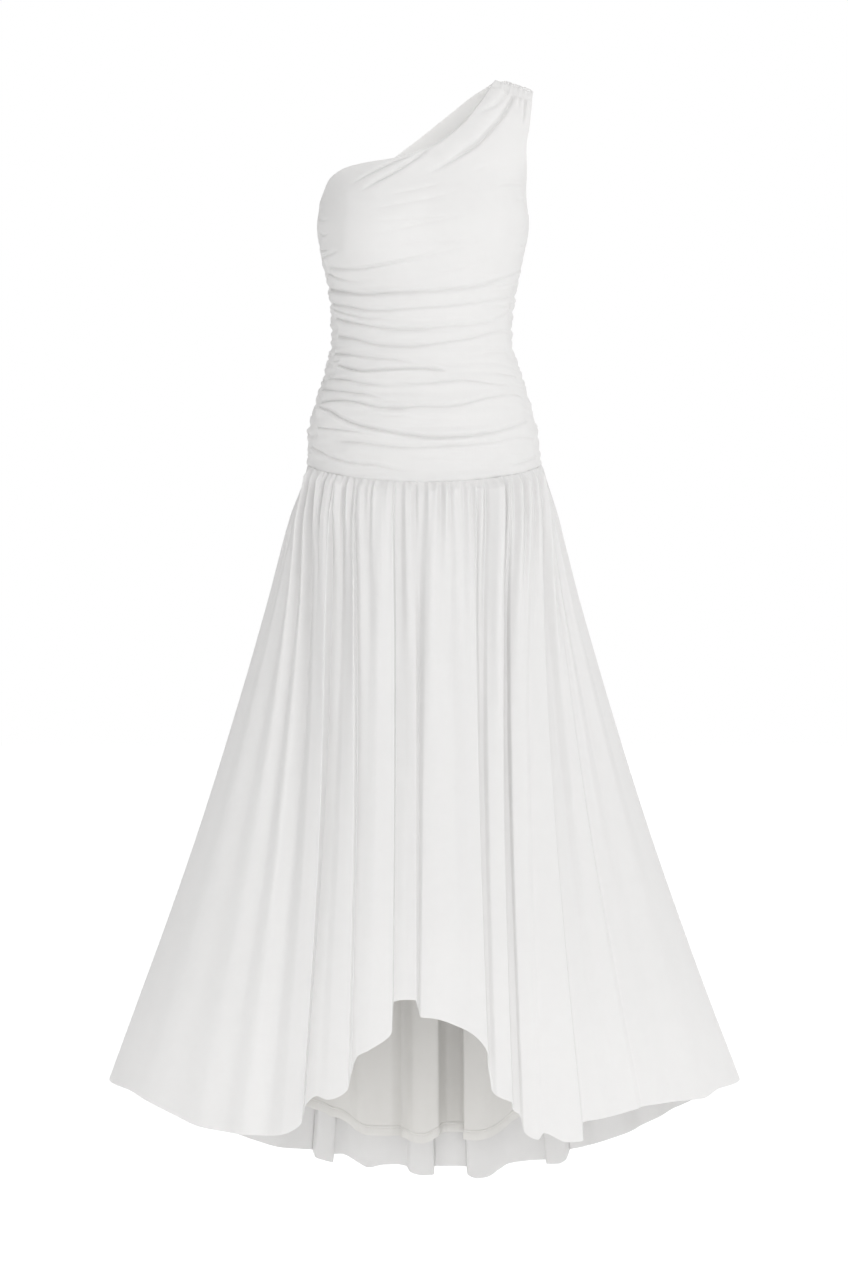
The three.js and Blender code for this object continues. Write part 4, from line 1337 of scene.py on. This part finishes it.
@dataclass
class Bodice:
    """Both panels of the bodice, sewn at the sides, the shoulder and the waist."""

    finish: JerseyFinish = BODICE_JERSEY
    inside: JerseyFinish = BODICE_INSIDE
    front_neckline: tuple[tuple[float, float], ...] = (
        (-147, 365), (-143, 370), (-131, 393), (-110, 406), (-89, 411), (-39, 418), (9, 434), (52, 467), (78, 502),
        (100, 538),
    )
    back_neckline: tuple[tuple[float, float], ...] = (
        (-147, 365), (-98, 404), (-42, 444), (-6, 471), (36, 502), (72, 526), (100, 538),
    )
    flat: tuple[float, float, float] = (0.46, 0.76, 0.255)  # width, length and area of each cut, before ruching

    def build(self) -> dict[str, bpy.types.Object]:
        """Makes both panels.

        Returns:
            The pieces by the node that they stand for.
        """
        tucks = tuple(tuck("left", *values) for values in LEFT_TUCKS) + tuple(
            tuck("right", *values) for values in RIGHT_TUCKS
        )
        front = BodicePanel(
            Side.FRONT,
            self.front_neckline,
            (293, 274, 275, 291, 302),
            FRONT_CREASES + tucks,
            swells=((-70, 298, 5.0, 46, 44), (88, 312, 6.0, 44, 46), (8, 330, -2.5, 26, 50)),
            turns=((12.0, -147, -102, 246, 412),),
        )
        front_wall = front.shape()
        back = BodicePanel(
            Side.BACK,
            self.back_neckline,
            (293, 282, 284, 292, 302),
            BACK_CREASES + tucks,
            seam_edges=front.seam_edges,
        )
        back_wall = back.shape()
        made = {}
        for wall, node in ((front_wall, "bodice_front"), (back_wall, "bodice_back")):
            piece = wall.build()
            dress_sheet(
                piece, wall, node, self.finish.material(), self.flat,
                self.rests(node),
            )
            piece.data.materials.append(self.inside.material())
            made[node] = piece
        return made

    def rests(self, node: str) -> list[str]:
        """The nodes that a panel is sewn to."""
        other = "bodice_back" if node == "bodice_front" else "bodice_front"
        return [other, node.replace("bodice", "skirt")]


@dataclass
class Skirt:
    """Both panels of the gathered skirt."""

    finish: JerseyFinish = SKIRT_JERSEY
    front_flat: tuple[float, float, float] = (1.45, 1.00, 0.98)  # width, length and area of the cut
    back_flat: tuple[float, float, float] = (1.65, 1.13, 1.18)
    back_growth: tuple[tuple[float, float], ...] = (
        (0, 0), (0.05, 0.14), (0.12, 0.28), (0.25, 0.44), (0.42, 0.55), (0.6, 0.6), (0.8, 0.64), (1, 0.62),
    )
    front_falls: tuple[tuple[float, float, float, float], ...] = (
        (-163, -441, -858, 0), (-162, -408, -861, -3), (-161, -377, -871, 4), (-160.5, -338, -886, -3),
        (-158, -304, -897, 5), (-155, -272, -902, -5), (-150, -243, -904, 9), (-144, -214, -905, -11),
        (-134, -186, -901, 13), (-118, -161, -884, 21), (-116, -160, -866, -11), (-108, -145, -851, -10),
        (-101, -129, -855, 2), (-90, -102, -842, 12), (-88, -98, -822, -5), (-70, -90, -799, 2),
        (-56, -71, -788, 12), (-39.5, -43, -764, 11.5), (-38, -41, -727, -9.4), (-28, -27, -724, -11.5),
        (-13, -12, -724, -5), (-7, -9, -734, -11.5), (4, -5, -746, 4.3), (18, 14, -748, 10.1), (33, 46, -759, 4),
        (48, 66, -770, 11), (63, 84, -795, 14), (66, 87, -822, -6), (76, 90, -843, -5.6), (82, 97, -850, 4.2),
        (102, 116, -859, 9.8), (104, 119, -869, -9.8), (110, 127, -876, -8.4), (114, 132, -897, 4.2),
        (134, 150, -907, 9.8), (139, 158, -899, 5.6), (145, 190, -912, 8.4), (151, 210, -911, 7),
        (152, 211, -888, -1.4), (154, 238, -884, -9), (157, 262, -878, 7), (158.5, 284, -873, 9),
        (159, 292, -871, 2), (160, 313, -869, 7), (161, 342, -868, -2), (161.5, 376, -868, 7),
        (162.5, 407, -859, -4), (163, 441, -858, 0),
    )
    back_falls: tuple[tuple[float, float, float, float], ...] = (
        (-163, -441, -858, 0), (-160, -400, -902, 14), (-156, -365, -930, -12), (-151, -330, -951, 24),
        (-142, -292, -968, -20), (-131, -255, -985, 28), (-118, -218, -998, -21), (-101, -181, -1004, 18),
        (-95, -165, -1006, 24), (-93, -163, -1016, -22), (-82, -139, -1024, -28), (-80, -137, -1013, 6),
        (-74, -125, -1013, 14), (-68, -114, -1017, 22), (-59, -97, -1028, 10), (-51, -83, -1034, -8),
        (-38, -60, -1030, -6), (-29, -44, -1030, 8), (-19, -26, -1035, 24), (-15, -20, -1042, -10),
        (-5, -2, -1046, -28), (4, 12.6, -1045, -26), (6, 14, -1034, 26), (22, 48, -1034, 30), (31, 64, -1034, 24),
        (33, 66, -1045, -26), (40, 79, -1050, -30), (48, 94, -1048, -22), (58, 111, -1037, 0), (67, 125, -1028, 16),
        (82, 153, -1023, 24), (96, 182, -1020, 22), (97.5, 184, -1025, -20), (105, 202, -1024, -24),
        (110, 212, -1017, -20), (111.5, 214, -1004, 16), (119, 234, -998, 20), (128, 259, -989, -14),
        (138, 300, -971, 22), (145, 322, -957, -13), (151, 343, -943, 16), (156, 364, -928, -10),
        (159, 385, -913, 12), (161.5, 412, -888, -4), (163, 441, -858, 0),
    )
    # Gathers that run further down: seam x, height, half-width and length
    front_gathers: tuple[tuple[float, float, float, float], ...] = (
        (-157, 9.8, 6.9, 525), (-149, 7.0, 4.6, 282), (-139, 9.0, 5.8, 378), (-127, 8.3, 5.8, 333),
        (-113, 11.5, 6.9, 575), (-99, 7.6, 5.2, 298), (-84, 10.9, 6.3, 482), (-72, 6.7, 4.6, 272),
        (-60, 9.9, 6.9, 381), (-47, 7.9, 6.2, 318), (-33, 6.2, 5, 241), (-20, 9.0, 6.2, 360), (-4, 7.4, 5.6, 276),
        (11, 10.8, 6.9, 430), (27, 7.6, 5.6, 290), (40, 9.2, 6.2, 374), (55, 6.8, 5, 255), (70, 14.9, 6.3, 402),
        (86, 11.4, 5.7, 311), (97, 15.4, 5.7, 444), (109, 9.8, 4.6, 262), (122, 13.2, 5.7, 360),
        (136, 11.4, 5.7, 332), (147, 10.5, 4.6, 276), (155, 12.9, 5.7, 416),
    )
    back_gathers: tuple[tuple[float, float, float, float], ...] = (
        (-156, 3.2, 5, 330), (-145, 2.5, 4, 160), (-131, 3.9, 6, 440), (-117, 2.7, 4.5, 190), (-103, 3.4, 5, 310),
        (-90, 2.7, 4, 150), (-75, 4.2, 6, 480), (-61, 2.9, 4.5, 210), (-46, 3.6, 5, 350), (-34, 2.4, 4, 130),
        (-21, 3.9, 5.5, 420), (-7, 2.7, 4, 170), (8, 3.4, 5, 280), (22, 4.1, 5.5, 450), (37, 2.5, 4, 150),
        (50, 3.4, 5, 320), (65, 2.9, 4.5, 220), (79, 4.1, 6, 460), (93, 2.7, 4, 160), (108, 3.6, 5, 340),
        (121, 2.9, 4.5, 200), (135, 3.7, 5.5, 400), (147, 2.5, 4, 150), (156, 3.2, 5, 300),
    )

    def build(self) -> dict[str, bpy.types.Object]:
        """Makes both panels.

        Returns:
            The pieces by the node that they stand for.
        """
        panels = {
            "skirt_front": (
                SkirtPanel(
                    "skirt_front_cloth", Side.FRONT, DRESS_FORM, self.front_falls, 1.6, 640, 110,
                    gathers=self.front_gathers, fine_gathers=50, fine_seed=7,
                ),
                self.front_flat,
            ),
            "skirt_back": (
                SkirtPanel(
                    "skirt_back_cloth", Side.BACK, DRESS_FORM, self.back_falls, 1.6, 640, 110,
                    gathers=self.back_gathers, fine_gathers=52, fine_seed=11, stand_share=0.42,
                    growth=self.back_growth,
                ),
                self.back_flat,
            ),
        }
        made = {}
        for node, (panel, flat) in panels.items():
            wall = panel.shape()
            piece = wall.build()
            rests = [node.replace("skirt", "bodice"), "skirt_back" if node == "skirt_front" else "skirt_front"]
            dress_sheet(piece, wall, node, self.finish.material(), flat, rests)
            made[node] = piece
        return made


@dataclass
class Lining:
    """The plain lining inside the skirt, with its turned-up hem and the stitching that holds it."""

    finish: JerseyFinish = LINING_JERSEY
    hem_band: float = 14.0
    hem_extra: float = 1.15
    stitch: tuple[float, float, float] = (2.6, 0.55, 0.4)  # length, width and height in millimetres
    stitch_pitch: float = 3.9
    growth: tuple[tuple[float, float], ...] = (
        (0, 0), (0.05, 0.15), (0.15, 0.4), (0.3, 0.8), (0.5, 1.1), (0.75, 1.3), (1, 1.3),
    )
    front_flat: tuple[float, float, float] = (0.90, 0.84, 0.50)  # width, length and area of the cut
    back_flat: tuple[float, float, float] = (1.05, 1.06, 0.68)
    front_falls: tuple[tuple[float, float, float, float], ...] = (
        (-159, -314, -800, 0), (-150, -285, -812, 4), (-131, -243, -811, -5), (-108, -195, -800, 6),
        (-76, -134, -752, -6), (-40, -70, -690, 6), (0, 0, -668, -6), (42, 75, -695, 6), (78, 140, -760, -6),
        (110, 200, -805, 6), (132, 246, -812, -5), (150, 288, -812, 4), (159, 314, -800, 0),
    )
    back_falls: tuple[tuple[float, float, float, float], ...] = (
        (-159, -314, -800, 0), (-156, -296, -826, 4), (-148, -262, -862, -5), (-136, -225, -893, 6),
        (-122, -190, -917, -6), (-110, -163, -931, 5), (-102, -145, -938, 8), (-96, -134, -945, 8),
        (-90, -123, -948, 6), (-84, -109, -957, 2), (-78, -99, -966, -6), (-70, -88, -971.5, -8),
        (-60, -72, -973, -8), (-48, -52, -974, -7), (-40, -41, -974.5, -2), (-33, -33, -978, 3),
        (-26, -26, -980, 0), (-18, -15, -984, -9), (-6, -2, -985, -11), (6, 10, -981, -10), (15, 20, -975, -8),
        (18, 23, -973, 8), (26, 33, -973, 20), (38, 48, -973, 21), (48, 58, -972, 11), (49, 60, -979, -6),
        (58, 76, -980, -9), (70, 93, -977, -8), (84, 110, -968, 0), (96, 127, -952, 6), (106, 142, -943, 7),
        (120, 172, -928, -5), (136, 215, -900, 6), (148, 256, -866, -5), (156, 294, -828, 4), (159, 314, -800, 0),
    )

    # Creases pressed into the back panel: x, z, x, z, depth and width
    pinches: tuple[tuple[float, float, float, float, float, float], ...] = (
        (-70, -905, -54, -935, -1.6, 6), (24, -915, 36, -950, -1.8, 6),
    )

    def build(self) -> dict[str, bpy.types.Object]:
        """Makes both panels and their stitching.

        Returns:
            The pieces by the node that they stand for.
        """
        shared = {
            "stand_share": 1.0,
            "growth": self.growth,
            "inner_step": 1,
            "hem_band": self.hem_band,
            "hem_extra": self.hem_extra,
        }
        front = SkirtPanel(
            "lining_front_cloth", Side.FRONT, LINING_FORM, self.front_falls, 1.0, 240, 90, **shared
        )
        back = SkirtPanel(
            "lining_back_cloth", Side.BACK, LINING_FORM, self.back_falls, 1.0, 300, 110, pinches=self.pinches, **shared
        )
        panels = {"lining_front": (front, self.front_flat), "lining_back": (back, self.back_flat)}
        made = {}
        for node, (panel, flat) in panels.items():
            wall = panel.shape()
            piece = wall.build()
            stitching = self.stitching(wall, node)
            rests = [node.replace("lining", "skirt"), "lining_back" if node == "lining_front" else "lining_front"]
            dress_sheet(piece, wall, node, self.finish.material(), flat, rests)
            made[node] = piece
        return made

    def stitching(self, wall: ClothWall, node: str) -> bpy.types.Object:
        """Sews the turned-up hem: one row of stitches on the inside of a panel.

        Args:
            wall: The panel.
            node: The node that it stands for.

        Returns:
            The row of stitches as one piece.
        """
        deselect()
        bpy.ops.mesh.primitive_uv_sphere_add(segments=8, ring_count=5, radius=0.5 * MM)
        one = bpy.context.object
        bpy.ops.transform.resize(value=self.stitch)
        bpy.ops.object.transform_apply(location=False, rotation=False, scale=True)
        shape = np.array([v.co[:] for v in one.data.vertices])
        faces = [list(p.vertices) for p in one.data.polygons]
        bpy.data.objects.remove(one)

        inner = wall.inner()
        up = np.linalg.norm(inner - inner[:1], axis=-1)
        sewn_at = self.hem_band - STITCH_DROP
        low = slice(0, 24)  # the rows that the turned-up hem covers
        columns = range(inner.shape[1])
        line = np.array([[np.interp(sewn_at, up[low, j], inner[low, j, k]) for k in range(3)] for j in columns])
        size = np.linalg.norm(np.diff(line, axis=0), axis=1)
        run = np.concatenate(([0.0], np.cumsum(size)))
        places = np.arange(self.stitch_pitch, run[-1] - self.stitch_pitch, self.stitch_pitch)
        middle = np.stack([np.interp(places, run, line[:, k]) for k in range(3)], axis=-1)
        ahead = np.stack([np.interp(places + 0.5, run, line[:, k]) for k in range(3)], axis=-1) - middle
        ahead /= np.linalg.norm(ahead, axis=1, keepdims=True)
        away = np.cross(ahead, np.array((0.0, 0.0, 1.0))) * wall.side.value
        away /= np.linalg.norm(away, axis=1, keepdims=True)
        rise = np.cross(away, ahead)
        middle = middle + away * 0.05
        points = (
            middle[:, None, :]
            + shape[None, :, 0:1] / MM * ahead[:, None, :]
            + shape[None, :, 1:2] / MM * rise[:, None, :]
            + shape[None, :, 2:3] / MM * away[:, None, :]
        )
        count = len(shape)
        every = [[v + count * k for v in face] for k in range(len(places)) for face in faces]
        mesh = bpy.data.meshes.new(f"{node}_stitches")
        mesh.from_pydata(((points.reshape(-1, 3) - ORIGIN) * MM).tolist(), [], every)
        mesh.shade_smooth()
        piece = bpy.data.objects.new(mesh.name, mesh)
        bpy.context.scene.collection.objects.link(piece)
        piece.data.materials.append(ThreadFinish().material())
        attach(piece, BODY)
        LOG.info("%s: %d stitches", piece.name, len(places))
        return piece


@dataclass(frozen=True)
class ThreadFinish:
    """White sewing thread with a slight twist; its stripes along the twist and its tone a little darker than the cloth
    are painted shade.
    """

    name: str = "white_thread"
    colour: tuple[float, float, float] = (0.84, 0.83, 0.81)
    shade: tuple[float, float, float] = (0.74, 0.73, 0.71)

    def material(self) -> bpy.types.Material:
        """Builds the nodes.

        Returns:
            The material.
        """
        board = Board(bpy.data.materials.new(self.name))
        body = board.add("ShaderNodeTexCoord", output="Object")
        twist = board.add(
            "ShaderNodeTexWave", {"bands_direction": "DIAGONAL"}, {
                "Vector": body, "Scale": 900.0, "Distortion": 1.0,
            }, output="Fac"
        )
        # The twist's stripes darken the colour: painted shade in the thread's grooves.
        colour = board.add(
            "ShaderNodeMix", {"data_type": "RGBA"}, {0: twist, 6: (*self.shade, 1.0), 7: (*self.colour, 1.0)}, output=2
        )
        bump = board.add("ShaderNodeBump", inputs={"Strength": 0.3, "Distance": 0.00005, "Height": twist})
        thread = board.add(
            "ShaderNodeBsdfPrincipled", inputs={"Base Color": colour, "Roughness": 0.6, "Normal": bump}
        )
        board.show(thread)
        return board.owner


def dress_sheet(
    piece: bpy.types.Object,
    wall: ClothWall,
    node: str,
    material: bpy.types.Material,
    flat: tuple[float, float, float],
    rests_on: list[str],
) -> None:
    """Puts a cloth panel in the place of its node, with its material, and logs its cloth area and flat size.

    Args:
        piece: The panel.
        wall: The wall that it was made from.
        node: The node that it replaces.
        material: Its finish.
        flat: Width, length and area of the cut before sewing, in metres and square metres.
        rests_on: What it hangs from; not used.
    """
    piece.data.materials.append(material)
    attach(piece, BODY)
    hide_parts(node)
    area = wall.cloth_area()
    LOG.info("%s: %d faces, %.3f m2 of cloth, flat %s", piece.name, len(piece.data.polygons), area, flat)


# ---------------------------------------------------------------------------------------------- the studio


@dataclass
class Studio:
    """A pale floor, a white room and soft light from the upper right, and the photograph's camera."""

    floor_height: float = -1.8777
    floor_size: float = 60.0
    floor_glow: float = 0.22
    # Brightness of the room by direction: (from, to, brightness there, brightness here) on each axis
    sky: tuple[tuple[str, float, float, float, float], ...] = (
        ("X", -0.9, -0.2, 0.57, 1.0),
        ("Y", -0.8, 0.4, 0.62, 1.0),
        ("Z", 0.2, 0.9, 1.0, 1.3),
    )
    target: tuple[float, float, float] = (-0.126, 0.0, -0.75)
    hem_target: tuple[float, float, float] = (-0.5, 0.0, -1.08)
    # Name, watts, place, size, what it is aimed at, and its spread in degrees
    lamps: tuple[tuple[str, float, tuple[float, float, float], float, tuple[float, float, float], float], ...] = (
        ("key", 41.5, (2.2, -2.8, 1.9), 1.6, target, 180.0),
        ("fill", 41.0, (-0.2, -4.4, -0.55), 1.8, target, 180.0),
        ("low", 0.5, (-3.0, -2.0, -1.0), 0.7, hem_target, 32.0),
    )

    def camera(self) -> None:
        """Sets the camera where the photograph was taken from."""
        data = bpy.data.cameras.new("camera")
        data.sensor_width = 36.0
        data.lens = 36.0 * CAMERA_DISTANCE / (PHOTO_PIXELS[1] * PHOTO_MM_A_PIXEL)
        camera = bpy.data.objects.new("camera", data)
        bpy.context.scene.collection.objects.link(camera)
        offset = (PHOTO_PIXELS[0] / 2 - PHOTO_CENTRE[0]) * PHOTO_MM_A_PIXEL
        camera.location = (
            (offset - ORIGIN[0]) * MM,
            -CAMERA_DISTANCE * MM,
            (PHOTO_CENTRE_HEIGHT - ORIGIN[2]) * MM,
        )
        camera.rotation_euler = (math.pi / 2, 0.0, 0.0)
        bpy.context.scene.camera = camera

    def room(self) -> None:
        """Lights the room from all sides, less from the left and the front, and more from above."""
        world = bpy.data.worlds.new("studio")
        bpy.context.scene.world = world
        board = Board(world)
        direction = board.add("ShaderNodeTexCoord", output="Generated")
        bright: Shade | float = 1.0
        for axis, start, end, there, here in self.sky:
            along = board.add("ShaderNodeSeparateXYZ", inputs={"Vector": direction}, output=axis)
            share = board.add(
                "ShaderNodeMapRange",
                {"interpolation_type": "SMOOTHSTEP"},
                {"Value": along, "From Min": start, "From Max": end, "To Min": there, "To Max": here},
                output="Result",
            )
            bright = share * bright
        board.show(board.add("ShaderNodeBackground", inputs={"Color": (1.0, 1.0, 1.0, 1.0), "Strength": bright}))

    def lights(self) -> None:
        """Sets the large soft lights."""
        for name, watts, place, size, target, spread in self.lamps:
            data = bpy.data.lights.new(name, "AREA")
            data.shape = "SQUARE"
            data.size = size
            data.energy = watts
            data.spread = math.radians(spread)
            light = bpy.data.objects.new(name, data)
            bpy.context.scene.collection.objects.link(light)
            light.location = place
            aim = Vector(target) - Vector(place)
            light.rotation_euler = aim.to_track_quat("-Z", "Y").to_euler()

    def floor(self) -> None:
        """Lays the wide pale floor under the dress."""
        deselect()
        bpy.ops.mesh.primitive_grid_add(
            x_subdivisions=8, y_subdivisions=8, size=self.floor_size, location=(self.target[0], 0.0, self.floor_height)
        )
        bpy.ops.object.transform_apply(location=True, rotation=False, scale=False)
        floor = bpy.context.object
        floor.name = "floor"
        board = Board(bpy.data.materials.new("pale_floor"))
        body = board.add("ShaderNodeTexCoord", output="Object")
        clouds = board.add("ShaderNodeTexNoise", {}, {"Vector": body, "Scale": 3.0, "Detail": 3.0})
        shade = board.add(
            "ShaderNodeMix", {"data_type": "RGBA"}, {
                0: clouds, 6: (0.87, 0.87, 0.87, 1.0), 7: (0.89, 0.89, 0.89, 1.0),
            }, output=2
        )
        paint = board.add(
            "ShaderNodeBsdfPrincipled",
            inputs={
                "Base Color": shade,
                "Roughness": 0.8,
                "Specular IOR Level": 0.0,
                "Emission Color": (1.0, 1.0, 1.0, 1.0),
                "Emission Strength": self.floor_glow,
            },
        )
        board.show(paint)
        floor.data.materials.append(board.owner)

    def build(self) -> None:
        """Sets everything but the camera."""
        self.room()
        self.lights()
        self.floor()
        bpy.context.scene.view_settings.view_transform = "Standard"
        LOG.info("studio set")


def deselect() -> None:
    """Leaves nothing selected."""
    for item in bpy.context.view_layer.objects:
        item.select_set(False)


def corners(box: Sequence[Sequence[float]]) -> list[list[float]]:
    """A box's two corners as plain numbers."""
    return [[float(value) for value in corner] for corner in box]


def main() -> None:
    """Builds the dress piece by piece."""
    logging.basicConfig(level=logging.INFO, format="%(name)s %(message)s")
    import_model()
    deselect()
    studio = Studio()
    studio.camera()
    made: dict[str, bpy.types.Object] = {}
    steps: tuple[Callable[[], dict[str, bpy.types.Object]], ...] = (Bodice().build, Skirt().build, Lining().build)
    for step in steps:
        made.update(step())
    studio.build()
    LOG.info("%d panels: %s", len(made), ", ".join(made))


if __name__ == "__main__":
    main()
